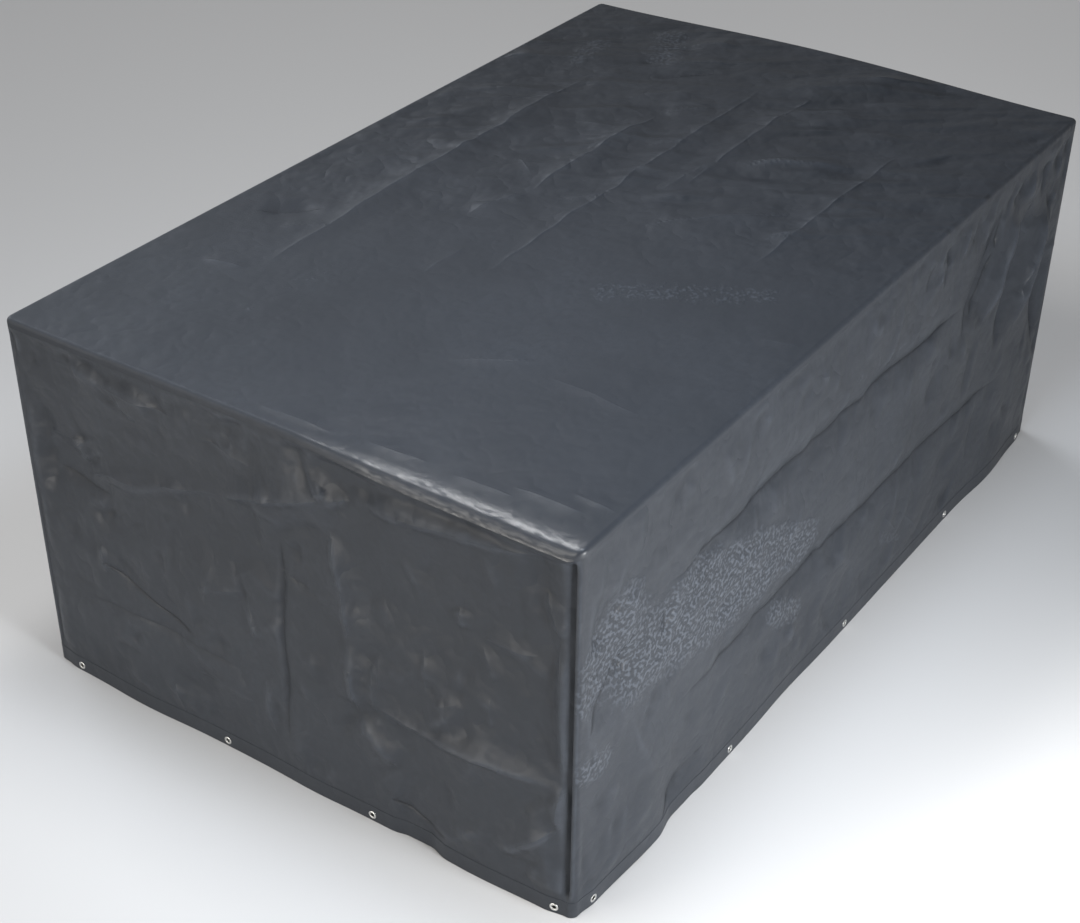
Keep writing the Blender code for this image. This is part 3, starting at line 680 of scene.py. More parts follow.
def along_fold(places, fold, taper):
    """For each place: the fold's fade towards its ends, the distance to its line, and how far left."""
    start = np.array(fold.start)
    run = np.array(fold.end) - start
    share = (places - start) @ run / (run @ run)
    nearest = start + np.clip(share, 0, 1)[:, None] * run
    left = (places - start) @ (-run[1], run[0]) / math.hypot(*run)
    fade = smooth_step(share / taper) * smooth_step((1 - share) / taper)
    return fade, np.linalg.norm(places - nearest, axis=1), left


def relief(places, folds, taper=TAPER, share=1.0):
    """The folds' height at each place.

    A broad fold is a bell curve over the distance to its line. A sharp one has a rounded crest
    and hollow flanks, the square of what is left of its reach. It fades and narrows towards its
    ends, its height is multiplied by share, and lean moves reach to its left flank.
    """
    height = np.zeros(len(places))
    for fold in folds:
        near = near_fold(places, fold, FOLD_REACH * fold.half_width)
        fade, off, left = along_fold(places[near], fold, taper)
        if fold.half_width > BROAD:
            height[near] += fold.height * np.exp(-((off / fold.half_width) ** 2))
            continue
        reach = FLANK * fold.half_width * (END_WIDTH + (1 - END_WIDTH) * fade)
        reach *= 1 + fold.lean * np.sign(left)
        rest = np.clip(1 - (np.hypot(off, CREST) - CREST) / reach, 0, 1)
        height[near] += share * fold.height * fade * rest**2
    return height


def zones(places, folds):
    """How far each place lies in a zone: bell curves over the distance to each fold's line, added."""
    total = np.zeros(len(places))
    for fold in folds:
        _, off, _ = along_fold(places, fold, TAPER)
        total += fold.height * np.exp(-((off / fold.half_width) ** 2))
    return total


def strayed(places, seed):
    """Places moved a little by slow waves, so that lines drawn through them wander."""
    moves = [swell(places, WANDER_LENGTH, WANDER, seed + axis) for axis in (0, 1)]
    return places + np.column_stack(moves)


def crease_lines(places, folds):
    """(signed distance, height, 0) of the crease that is nearest to each place, for its sharp line.

    The height fades to nothing at the crease's reach, and where another crease is about as near.
    Two folds whose lines nearly meet at a place count as one, with the higher one's height.
    """
    nearest = np.full(len(places), LINE_REACH)
    second = np.full(len(places), LINE_REACH + LINE_APART + LINE_GAP)
    lines = np.zeros((len(places), 3))
    for fold in folds:
        if fold.half_width > BROAD:
            continue
        near = near_fold(places, fold, LINE_REACH + LINE_APART + LINE_GAP)
        fade, off, left = along_fold(places[near], fold, LINE_TAPER)
        height = np.clip(fold.height, -LINE_HIGHEST, LINE_HIGHEST) * fade
        same = (nearest[near] < LINE_REACH) & (abs(left - lines[near, 0]) < LINE_SAME)
        higher = same & (abs(height) > abs(lines[near, 1]))
        won = higher | (~same & (off < nearest[near]))
        apart = near[~same]
        second[apart] = np.minimum(second[apart], np.maximum(nearest[apart], off[~same]))
        nearest[near] = np.minimum(nearest[near], off)
        lines[near[won], 0] = left[won]
        lines[near[won], 1] = height[won]
    lines[:, 1] *= smooth_step((second - nearest - LINE_APART) / LINE_GAP)
    lines[:, 1] *= smooth_step((LINE_REACH - nearest) / LINE_FADE)
    return lines


def scattered(kind, count, low, high, heading, height, seed):
    """A kind's small folds, at random places between low and high, on one heading.

    Places, lengths, widths, heights and leans are drawn evenly, and turns from a normal spread.
    """
    draw = np.random.default_rng(seed + kind.seed)
    middles = draw.uniform(low, high, (count, 2))
    angles = np.radians(draw.normal(heading, kind.spread, count))
    halves = draw.uniform(*kind.lengths, count) / 2
    widths = draw.uniform(*kind.half_widths, count)
    heights = height * draw.uniform(LEAST_HEIGHT, 1, count) * draw.choice((-1, 1), count)
    leans = draw.uniform(-MOST_LEAN, MOST_LEAN, count)
    steps = halves[:, None] * np.column_stack([np.cos(angles), np.sin(angles)])
    rows = zip(middles - steps, middles + steps, widths, heights, leans)
    return tuple(Fold(tuple(start), tuple(end), *shape) for start, end, *shape in rows)


def scattered_on(wall, kind, low, high, height):
    """A kind's small folds on a wall, between two heights."""
    count = int(kind.number * 2 * wall.half_run)
    heading = wall.hang if kind.heading is None else kind.heading
    edge = wall.half_run
    return scattered(kind, count, (-edge, low), (edge, high), heading, height, wall.seed)


def swell(places, length, height, seed):
    """Slow uneven waves: a sum of plane sine waves of about that length, in all directions."""
    draw = np.random.default_rng(seed)
    total = np.zeros(len(places))
    for turn in np.arange(SWELL_WAVES) * math.pi / SWELL_WAVES:
        turn += draw.uniform(0, SWELL_TURN)
        number = 2 * math.pi / (length * draw.uniform(*SWELL_LENGTHS))
        way = number * math.cos(turn), number * math.sin(turn)
        total += np.sin(places @ way + draw.uniform(0, SWELL_PHASE))
    return total * height / math.sqrt(SWELL_WAVES)


def pucker_share(wall, run):
    """How strongly a wall puckers under its seam: more towards the end that its table names."""
    start, end = wall.puckered
    return PUCKER_LEAST + (1 - PUCKER_LEAST) * smooth_step((run - start) / (end - start))


def graded(low, high, pitch, marks):
    """Lines from low to high, pitch apart, that close up beside each mark.

    The spacing's inverse is summed along the way, and the lines stand at equal shares of it.
    """
    at = np.linspace(low, high, GRADE_SAMPLES)
    near = np.zeros(len(at))
    for mark in marks:
        near = np.maximum(near, np.exp(-(((at - mark) / CREASE_REACH) ** 2)))
    density = 1 / pitch + max(0, 1 / CREASE_PITCH - 1 / pitch) * near
    total = np.concatenate([[0], np.cumsum((density[1:] + density[:-1]) / 2 * np.diff(at))])
    return np.interp(np.linspace(0, total[-1], math.ceil(total[-1]) + 1), total, at)


def grid_faces(rows, columns):
    """The quads of a grid of points. They face out where columns run to the right and rows up."""
    index = np.arange(rows * columns).reshape(rows, columns)
    corners = (index[:-1, :-1], index[:-1, 1:], index[1:, 1:], index[1:, :-1])
    return np.stack(corners, axis=-1).reshape(-1, 4)


def bend_of(height, rows, columns):
    """How sharply a grid's relief bends: above 0 on crests, below 0 in troughs, about -1 to 1.

    It is minus the sum of the height's second slopes along rows and columns, over BEND.
    """
    slope_r, slope_c = np.gradient(height, rows, columns)
    bend = np.gradient(slope_r, rows, axis=0) + np.gradient(slope_c, columns, axis=1)
    return np.clip(-bend / BEND, -1, 1)


# ---------------------------------------------------------------- meshes
class Surface(NamedTuple):
    """A sheet's middle surface, with what its material reads at each point."""

    points: np.ndarray
    faces: np.ndarray
    cut: np.ndarray  # the place on the flat cloth, in metres
    crest: np.ndarray  # 1 on a sharp crest, -1 in a sharp trough
    glitter: np.ndarray  # 1 where the tape weave catches the light: its worm-like relief and its painted glint flecks
    slack: np.ndarray  # 1 where the cloth is loose and finely crinkled
    polish: np.ndarray  # 1 where the coating is rubbed smooth
    grain: np.ndarray  # the cut turned so that its second axis runs along the fine wrinkles
    line: np.ndarray  # the nearest crease: signed distance in metres, height in metres, 0


def mark_border_sharp(mesh):
    """Keeps a sheet's faces smooth and the turn over its cut edge hard."""
    mesh.shade_smooth()
    edges = np.empty(len(mesh.loops), np.int32)
    mesh.loops.foreach_get("edge_index", edges)
    on_border = np.bincount(edges, minlength=len(mesh.edges)) == 1
    sharp = mesh.attributes.new("sharp_edge", "BOOLEAN", "EDGE")
    sharp.data.foreach_set("value", on_border)


def sheet_object(name, surface, thickness, material):
    """A cloth piece: its middle surface with its attributes, thickened evenly to both sides."""
    mesh = bpy.data.meshes.new(name)
    mesh.from_pydata(surface.points, [], surface.faces)
    mesh.materials.append(material)
    mark_border_sharp(mesh)
    corners = np.empty(len(mesh.loops), np.int32)
    mesh.loops.foreach_get("vertex_index", corners)
    for key, places in ((CUT_MAP, surface.cut), (GRAIN_MAP, surface.grain)):
        mesh.uv_layers.new(name=key).data.foreach_set("uv", places[corners].ravel())
    for key in ("crest", "glitter", "slack", "polish"):
        layer = mesh.attributes.new(key, "FLOAT", "POINT")
        layer.data.foreach_set("value", getattr(surface, key))
    line = mesh.attributes.new("line", "FLOAT_VECTOR", "POINT")
    line.data.foreach_set("vector", surface.line.ravel())
    piece = bpy.data.objects.new(name, mesh)
    bpy.context.scene.collection.objects.link(piece)
    solid = piece.modifiers.new("cloth thickness", "SOLIDIFY")
    solid.thickness = thickness
    solid.offset = 0
    solid.use_even_offset = True
    return piece


def apply_modifiers(piece):
    """Replaces a piece's mesh by what its modifiers make of it."""
    graph = bpy.context.evaluated_depsgraph_get()
    made = bpy.data.meshes.new_from_object(
        piece.evaluated_get(graph), preserve_all_data_layers=True, depsgraph=graph
    )
    made.name = piece.name
    piece.modifiers.clear()
    piece.data = made


# ---------------------------------------------------------------- top panel
def rounded_corner(x, y):
    """Grid points of the flat top, with each corner block drawn in to a quarter circle."""
    reach = CORNER_RADIUS - EDGE_RADIUS
    centre_x, centre_y = HALF_X - CORNER_RADIUS, HALF_Y - CORNER_RADIUS
    over_x = np.clip(abs(x) - centre_x, 0, None) / reach
    over_y = np.clip(abs(y) - centre_y, 0, None) / reach
    in_block = (over_x > 0) & (over_y > 0)
    radius = np.maximum(over_x, over_y)
    least = np.minimum(over_x, over_y) / np.where(radius > 0, radius, 1)
    angle = np.where(over_x >= over_y, least, 2 - least) * math.pi / 4
    round_x = np.sign(x) * (centre_x + reach * radius * np.cos(angle))
    round_y = np.sign(y) * (centre_y + reach * radius * np.sin(angle))
    return np.where(in_block, round_x, x), np.where(in_block, round_y, y)


def with_corner_lines(lines, half):
    """Lines across a face between its corners, with the corner blocks' own lines added outside."""
    reach = CORNER_RADIUS - EDGE_RADIUS
    steps = reach * np.arange(1, CORNER_STEPS // 2 + 1) / (CORNER_STEPS // 2)
    edge = half - CORNER_RADIUS
    return np.concatenate([-edge - steps[::-1], lines, edge + steps])


def turned_flat(places, degrees):
    """Places read along axes that are turned by an angle, counter-clockwise."""
    turn = math.radians(degrees)
    across, along = (math.cos(turn), math.sin(turn)), (-math.sin(turn), math.cos(turn))
    return np.column_stack([places @ across, places @ along])


def border_of(rows, columns):
    """Indices of a grid's outer points, counter-clockwise from its first point."""
    index = np.arange(rows * columns).reshape(rows, columns)
    return np.concatenate([index[0], index[1:, -1], index[-1, -2::-1], index[-2:0:-1, 0]])


def outward_from_top(x, y):
    """Unit vectors, seen from above, that point straight out from the top's border."""
    centre_x, centre_y = HALF_X - CORNER_RADIUS, HALF_Y - CORNER_RADIUS
    hair = 1e-6
    over = np.column_stack(
        [
            np.sign(x) * np.where(abs(x) > centre_x + hair, abs(x) - centre_x, 0),
            np.sign(y) * np.where(abs(y) > centre_y + hair, abs(y) - centre_y, 0),
        ]
    )
    return over / np.linalg.norm(over, axis=1)[:, None]


def top_slack(x, y):
    """1 where the top hangs slack, at its far end, and 0 where it is drawn smooth."""
    return smooth_step((x - SLACK_FROM + SLACK_SLANT * y) / (SLACK_TO - SLACK_FROM))


def top_relief(places, cloth):
    """All relief of the top: main folds, creases, crinkles where it is slack, and slow waves."""
    x, y = places.T
    strays = strayed(places, TOP_STRAY_SEED)
    slack = top_slack(x, y)
    far = HALF_X, HALF_Y
    near = -HALF_X, -HALF_Y
    kinds = ((TOP_CRINKLES, near, cloth.crinkle), (TOP_CROSSING, TOP_CROSSING_LOW, cloth.crinkle / 2))
    crinkles = ()
    for kind, low, height in kinds:
        crinkles += scattered(kind, kind.number, low, far, kind.heading, height, TOP_SEED)
    main = relief(strays, TOP_FOLDS, share=MAIN_SHARE)
    fine = relief(strays, TOP_CREASES, CREASE_TAPER) * cloth.crease_share
    loose = relief(strays, crinkles, CRINKLE_TAPER)
    loose *= SMOOTH_CRINKLES + (1 - SMOOTH_CRINKLES) * slack
    waves = swell(places, TOP_WAVE_LENGTH, WAVE_HEIGHT, TOP_WAVE_SEED)
    waves *= SMOOTH_WAVES + (1 - SMOOTH_WAVES) * slack
    inside = np.minimum(HALF_X - abs(x), HALF_Y - abs(y)) - EDGE_RADIUS
    main *= smooth_step(inside / SEAM_FADE)
    return main + (fine + loose + waves) * smooth_step(inside / (2 * FINE_FADE))


def border_rings(border, lift):
    """Rings that carry the top's border over its edge: their points, and places on the flat cloth.

    They follow a quarter circle and then hang straight down to the seam, and lose the lift of
    the border's own relief on the way.
    """
    out = outward_from_top(*border.T)
    rolls = np.arange(1, EDGE_STEPS + 1) / EDGE_STEPS * math.pi / 2
    reach = np.append(EDGE_RADIUS * np.sin(rolls), EDGE_RADIUS)
    drop = np.append(EDGE_RADIUS * (1 - np.cos(rolls)), RIM_DROP - SEAM_GAP / 2)
    along = np.append(EDGE_RADIUS * rolls, EDGE_RADIUS * (math.pi / 2 - 1) + RIM_DROP)
    for reach_now, drop_now, along_now in zip(reach, drop, along):
        z = TOP_Z - drop_now + lift * (1 - smooth_step(drop_now / RIM_DROP))
        yield np.column_stack([border + reach_now * out, z]), border + along_now * out


def top_surface(cloth):
    """The top's sheet: its grid, and the rings of its border down to the seam."""
    edge_x, edge_y = HALF_X - CORNER_RADIUS, HALF_Y - CORNER_RADIUS
    x_lines = with_corner_lines(graded(-edge_x, edge_x, TOP_PITCH, (-edge_x,)), HALF_X)
    y_lines = with_corner_lines(graded(-edge_y, edge_y, TOP_PITCH, TOP_CREASE_ROWS), HALF_Y)
    grid_y, grid_x = np.meshgrid(y_lines, x_lines, indexing="ij")
    x, y = rounded_corner(grid_x.ravel(), grid_y.ravel())
    cut = np.column_stack([x, y])
    height = top_relief(cut, cloth)
    rows, columns = len(y_lines), len(x_lines)
    crest = bend_of(height.reshape(rows, columns), y_lines, x_lines).ravel()
    points = np.column_stack([x, y, TOP_Z + height])
    faces = [grid_faces(rows, columns)]
    loop = inner = border_of(rows, columns)
    for ring, flat in border_rings(points[loop, :2], height[loop]):
        outer = len(points) + np.arange(len(loop))
        faces.append(np.column_stack([inner, outer, np.roll(outer, -1), np.roll(inner, -1)]))
        points, cut, inner = np.vstack([points, ring]), np.vstack([cut, flat]), outer
    return Surface(
        points=settled(points),
        faces=np.vstack(faces),
        cut=cut,
        crest=np.concatenate([crest, np.zeros(len(points) - len(crest))]),
        glitter=np.clip(zones(cut, TOP_GLITTER), 0, 1),
        slack=top_slack(*cut.T),
        polish=np.clip(zones(cut, TOP_POLISH), 0, 1),
        grain=turned_flat(cut, TOP_WRINKLE_HEADING - 90),
        line=crease_lines(strayed(cut, TOP_STRAY_SEED), TOP_CREASES + TOP_FOLDS),
    )


# ---------------------------------------------------------------- walls and hems
def wall_outline(wall, columns):
    """Plan points and outward directions of a wall's columns, in the wall's own axes (run, depth).

    A wall that wraps goes on round a quarter circle at each end.
    """
    places = np.column_stack([columns, np.full(len(columns), -wall.half_depth)])
    out = np.tile((0.0, -1.0), (len(columns), 1))
    if not wall.wraps:
        return columns, places, out
    edge_run, edge_depth = wall.half_run - CORNER_RADIUS, wall.half_depth - CORNER_RADIUS
    turn = np.arange(1, CORNER_STEPS + 1) / CORNER_STEPS * math.pi / 2
    arc = np.column_stack([np.sin(turn), -np.cos(turn)])
    right = np.array((edge_run, -edge_depth)) + CORNER_RADIUS * arc
    runs = edge_run + CORNER_RADIUS * turn
    mirror = np.array((-1, 1))
    return (
        np.concatenate([-runs[::-1], columns, runs]),
        np.vstack([(right * mirror)[::-1], places, right]),
        np.vstack([(arc * mirror)[::-1], out, arc]),
    )


def seam_groove(wall, run, z):
    """How far a wall dips to the seams at its two ends: bell curves over the distance to them."""
    wrap = math.pi / 2 * CORNER_RADIUS if wall.wraps else 0
    width = GROOVE_IN_SIDE if wall.wraps else GROOVE_IN_END
    reach = wall.half_run - CORNER_RADIUS + wrap
    low, high = wall.grooves
    dip = low * np.exp(-(((reach + run) / width) ** 2))
    dip += high * np.exp(-(((reach - run) / width) ** 2))
    start = smooth_step((TOP_Z - RIM_DROP - z) / GROOVE_TOP_FADE)
    return -dip * start * smooth_step((z - HEM_HEIGHT) / GROOVE_HEM_FADE)


def main_relief(wall, run, z):
    """The main folds' height on a wall, flattened towards its corners and its top seam."""
    to_corner = wall.half_run - CORNER_RADIUS - abs(run)
    fade = smooth_step(to_corner / SEAM_FADE) * smooth_step((TOP_Z - RIM_DROP - z) / SEAM_FADE)
    strays = strayed(np.column_stack([run, z]), wall.seed + WALL_STRAY_SEED)
    return relief(strays, wall.folds, share=MAIN_SHARE) * fade


def wall_crinkles(wall, cloth):
    """Scattered small folds of a wall: most hang down, some slant across."""
    folds = ()
    for kind in WALL_CRINKLES:
        folds += scattered_on(wall, kind, HEM_HEIGHT, TOP_Z, cloth.crinkle)
    return folds


def seam_puckers(wall, cloth):
    """Short folds that hang from the top seam."""
    lowest, highest = (TOP_Z - RIM_DROP - below for below in PUCKER_BAND)
    return scattered_on(wall, SEAM_PUCKERS, lowest, highest, 2 * cloth.pucker)


def fine_relief(wall, run, z, cloth):
    """Creases, crinkles, slow waves and the seam's puckers. They flatten to the hem and corners."""
    places = np.column_stack([run, z])
    strays = strayed(places, wall.seed + WALL_STRAY_SEED)
    fine = relief(strays, wall.creases, CREASE_TAPER) * cloth.crease_share
    fine += relief(strays, wall_crinkles(wall, cloth), CRINKLE_TAPER)
    fine += relief(strays, seam_puckers(wall, cloth), PUCKER_TAPER) * pucker_share(wall, run)
    fine += swell(places, WALL_WAVE_LENGTH, WAVE_HEIGHT, wall.seed + WALL_WAVE_SEED)
    to_corner = wall.half_run - CORNER_RADIUS - abs(run)
    fade = smooth_step(to_corner / FINE_FADE) * smooth_step((TOP_Z - RIM_DROP - z) / FINE_FADE)
    return fine * fade * smooth_step((z - HEM_HEIGHT) / (2 * FINE_FADE))


def wall_points(wall, outline, rows, heights):
    """A wall's points: each row of its outline at its own z, moved out by heights."""
    run, places, out = outline
    angle = math.radians(wall.turn)
    spin = np.array(((math.cos(angle), math.sin(angle)), (-math.sin(angle), math.cos(angle))))
    plan = (places + heights[..., None] * out) @ spin
    z = np.broadcast_to(np.asarray(rows)[:, None, None], (*heights.shape, 1))
    return settled(np.concatenate([plan, z], axis=-1).reshape(-1, 3))


def wall_columns(wall, pitch, marks):
    """The columns of a wall between its corners; an end stops a seam's gap short of them."""
    edge = wall.half_run - CORNER_RADIUS - (0 if wall.wraps else SEAM_GAP)
    return graded(-edge, edge, pitch, marks)


def wall_surface(wall, cloth):
    """A wall's sheet, from the seam under the top's border down to its hem."""
    outline = wall_outline(wall, wall_columns(wall, wall.pitch, wall.crease_columns))
    low, high = HEM_HEIGHT + SEAM_GAP / 2, TOP_Z - RIM_DROP - SEAM_GAP / 2
    rows = graded(low, high, wall.pitch, wall.crease_rows)
    run, z = np.meshgrid(outline[0], rows)
    shape = run.shape
    run, z = run.ravel(), z.ravel()
    height = main_relief(wall, run, z) + fine_relief(wall, run, z, cloth) + seam_groove(wall, run, z)
    height = height.reshape(shape)
    places = np.column_stack([run, z])
    strays = strayed(places, wall.seed + WALL_STRAY_SEED)
    return Surface(
        points=wall_points(wall, outline, rows, height),
        faces=grid_faces(*shape),
        cut=places,
        crest=bend_of(height, rows, outline[0]).ravel(),
        glitter=np.clip(zones(places, wall.glitter), 0, 1),
        slack=np.full(len(places), WALL_SLACK),
        polish=np.zeros(len(places)),
        grain=places,
        line=crease_lines(strays, wall.creases + wall.folds),
    )


def hem_surface(wall):
    """The doubled border below a wall. It hangs straight, as the wall's folds stand at its top."""
    outline = wall_outline(wall, wall_columns(wall, HEM_PITCH, ()))
    rows = np.linspace(0.0, HEM_HEIGHT - SEAM_GAP / 2, HEM_ROWS)
    run, z = np.meshgrid(outline[0], rows)
    height = main_relief(wall, outline[0], np.full(len(outline[0]), HEM_HEIGHT))
    places = np.column_stack([run.ravel(), z.ravel()])
    none = np.zeros(len(places))
    return Surface(
        points=wall_points(wall, outline, rows, np.broadcast_to(height, run.shape)),
        faces=grid_faces(*run.shape),
        cut=places,
        crest=none,
        glitter=none,
        slack=none,
        polish=none,
        grain=places,
        line=np.zeros((len(places), 3)),
    )


# ---------------------------------------------------------------- eyelets
def eyelet_profile():
    """(radius, height) round an eyelet's section: a rolled barrel and a domed flange on each face.

    The flange's back lies flat on the hem; its front is a half ellipse, and rolls into the bore.
    """
    face = HEM_CLOTH / 2 + EYELET_CLEARANCE
    middle = (EYELET_BORE + EYELET_FLANGE) / 2
    half = (EYELET_FLANGE - EYELET_BORE) / 2
    turn = np.linspace(0, math.pi, DOME_STEPS + 1)
    dome = np.column_stack([middle + half * np.cos(turn), face + EYELET_LIP * np.sin(turn)])
    upper = np.vstack([(EYELET_BARREL, face), dome])
    return np.vstack([upper, (upper * (1, -1))[::-1]])


def turned(profile, steps):
    """Points and faces of a closed profile of (radius, height) turned about Z."""
    angles = np.arange(steps) / steps * 2 * math.pi
    radius, height = profile.T
    points = np.stack(
        [
            np.outer(np.cos(angles), radius),
            np.outer(np.sin(angles), radius),
            np.broadcast_to(height, (steps, len(height))),
        ],
        axis=-1,
    ).reshape(-1, 3)
    index = np.arange(len(points)).reshape(steps, len(profile))
    after, along = np.roll(index, -1, axis=0), np.roll(index, -1, axis=1)
    both = np.roll(after, -1, axis=1)
    return points, np.stack([index, after, both, along], axis=-1).reshape(-1, 4)


def eyelet_place(wall, run):
    """Where an eyelet sits: its middle on the hem, and its axis square to the hem there."""
    runs = np.array((run - EYELET_FLAT, run + EYELET_FLAT))
    outline = (runs, np.column_stack([runs, (-wall.half_depth,) * 2]), np.tile((0.0, -1.0), (2, 1)))
    height = np.tile(main_relief(wall, runs, np.full(2, HEM_HEIGHT)), (2, 1))
    corners = wall_points(wall, outline, (0.0, 2 * EYELET_HEIGHT), height)
    low_left, low_right, high_left, high_right = (Vector(corner) for corner in corners)
    across = (low_right + high_right - low_left - high_left).normalized()
    up = high_left + high_right - low_left - low_right
    axis = across.cross(up).normalized()
    turn = Matrix((across, axis.cross(across), axis)).transposed().to_4x4()
    return Matrix.Translation((low_left + low_right + high_left + high_right) / 4) @ turn


def eyelets():
    """The name, wall and run of every eyelet."""
    return [
        (f"{wall.name}_{number}", wall, run)
        for wall in WALLS
        for number, run in enumerate(wall.eyelets, 1)
    ]


def placed_mesh(name, points, faces, place, material=None):
    """A mesh with its place in its own points, and smooth faces with hard turns."""
    mesh = bpy.data.meshes.new(name)
    mesh.from_pydata(points, [], faces)
    mesh.transform(place)
    mesh.shade_smooth()
    mesh.set_sharp_from_angle(angle=EYELET_HARD_TURN)
    if material:
        mesh.materials.append(material)
    piece = bpy.data.objects.new(name, mesh)
    bpy.context.scene.collection.objects.link(piece)
    return piece


def hole_cutter(name, place):
    """A plain round plug, longer than the hem is thick, that cuts an eyelet's hole."""
    radius, half = EYELET_BARREL + 2 * EYELET_CLEARANCE, 3 * HEM_CLOTH
    points, faces = turned(np.array([(radius, -half), (radius, half)]), HOLE_STEPS)
    sides = faces[::2].tolist()  # the others are the closed profile's way back
    ring = np.arange(HOLE_STEPS) * 2
    return placed_mesh(name, points, [*sides, ring[::-1].tolist(), (ring + 1).tolist()], place)


# ---------------------------------------------------------------- materials
class Tree:
    """A material's nodes, with short calls that add one and link its inputs."""

    def __init__(self, name):
        self.material = bpy.data.materials.new(name)
        self.material.use_nodes = True
        self.nodes = self.material.node_tree.nodes
        self.links = self.material.node_tree.links
        self.shader = self.nodes["Principled BSDF"]

    def give(self, socket, value):
        """Links a socket to another's output, or sets its own value."""
        if isinstance(value, bpy.types.NodeSocket):
            self.links.new(value, socket)
        else:
            socket.default_value = value

    def add(self, kind, inputs=(), **settings):
        """A new node with its settings and inputs."""
        node = self.nodes.new(kind)
        for key, value in settings.items():
            setattr(node, key, value)
        for key, value in dict(inputs).items():
            self.give(node.inputs[key], value)
        return node

    def math(self, operation, *values):
        """The result of a sum, a product or the like."""
        node = self.add("ShaderNodeMath", operation=operation)
        for socket, value in zip(node.inputs, values):
            self.give(socket, value)
        return node.outputs[0]

    def noise(self, at, scale, detail=3.0, roughness=0.5, kind="FBM"):
        """Noise between about 0 and 1 at a place, with scale features a metre."""
        inputs = {"Vector": at, "Scale": scale, "Detail": detail, "Roughness": roughness}
        node = self.add("ShaderNodeTexNoise", inputs, noise_type=kind, normalize=True)
        return node.outputs["Fac"]

    def between(self, value, low, high, to_low, to_high):
        """The value's place between low and high, carried to between to_low and to_high."""
        ends = {"From Min": low, "From Max": high, "To Min": to_low, "To Max": to_high}
        node = self.add("ShaderNodeMapRange", {"Value": value, **ends}, clamp=True)
        return node.outputs["Result"]

    def mixed(self, share, first, second):
        """A colour between two others. Sockets 6 and 7 take them, and 2 gives the result."""
        node = self.add("ShaderNodeMix", {0: share, 6: first, 7: second}, data_type="RGBA")
        return node.outputs[2]

    def value_of(self, name):
        """A number that the mesh holds at each point."""
        return self.add("ShaderNodeAttribute", attribute_name=name).outputs["Fac"]

    def parts_of(self, vector):
        """A vector's three numbers."""
        return self.add("ShaderNodeSeparateXYZ", {"Vector": vector}).outputs

    def scaled(self, vector, factors):
        """A vector with each of its numbers multiplied by its own factor."""
        node = self.add("ShaderNodeVectorMath", {0: vector, 1: factors}, operation="MULTIPLY")
        return node.outputs["Vector"]

    def bump(self, height, depth, normal=None):
        """Relief of that depth, in metres, over what normal already has."""
        inputs = {"Height": height, "Distance": depth, "Strength": 1.0}
        if normal:
            inputs["Normal"] = normal
        return self.add("ShaderNodeBump", inputs).outputs["Normal"]


class Marks:
    """What the coated cloth's material reads at each point of a sheet."""

    def __init__(self, tree):
        self.here = tree.add("ShaderNodeTexCoord").outputs["Object"]
        self.cut = tree.add("ShaderNodeUVMap", uv_map=CUT_MAP).outputs["UV"]
        self.grain = tree.add("ShaderNodeUVMap", uv_map=GRAIN_MAP).outputs["UV"]
        self.crest = tree.value_of("crest")
        self.glitter = tree.value_of("glitter")
        self.slack = tree.value_of("slack")
        self.polish = tree.value_of("polish")
        line = tree.add("ShaderNodeAttribute", attribute_name="line").outputs["Vector"]
        apart, self.crease, _ = tree.parts_of(line)
        self.apart = tree.math("ABSOLUTE", apart)


def shade(colour, share):
    """A colour made lighter or darker, with full alpha."""
    return (*(channel * share for channel in colour), 1)


def falling(tree, distance, scale):
    """An exponential fall over a distance: 1 at none, about a third at scale."""
    return tree.math("EXPONENT", tree.math("MULTIPLY", distance, -1 / scale))


def weave_of(tree, cut, tape):
    """The weave's relief: pillows a tape wide, from the size of two sines' product."""
    place = tree.parts_of(cut)
    turns = [tree.math("MULTIPLY", place[axis], math.pi / tape) for axis in ("X", "Y")]
    wave = tree.math("MULTIPLY", *(tree.math("SINE", turn) for turn in turns))
    return tree.math("POWER", tree.math("ABSOLUTE", wave), 0.5)


def glitter_zone(tree, marks):
    """Where the weave glitters, with relief and painted glint flecks: 0 outside its ragged border, up to 1
    inside.
    """
    rags = tree.noise(marks.cut, scale=38, detail=2, roughness=0.6)
    ragged = tree.math("ADD", marks.glitter, tree.between(rags, 0.3, 0.7, -0.16, 0.16))
    inside = tree.between(ragged, 0.36, 0.46, 0.0, 1.0)
    return tree.math("MULTIPLY", inside, tree.between(marks.glitter, 0.2, 0.9, 0.3, 1.0))


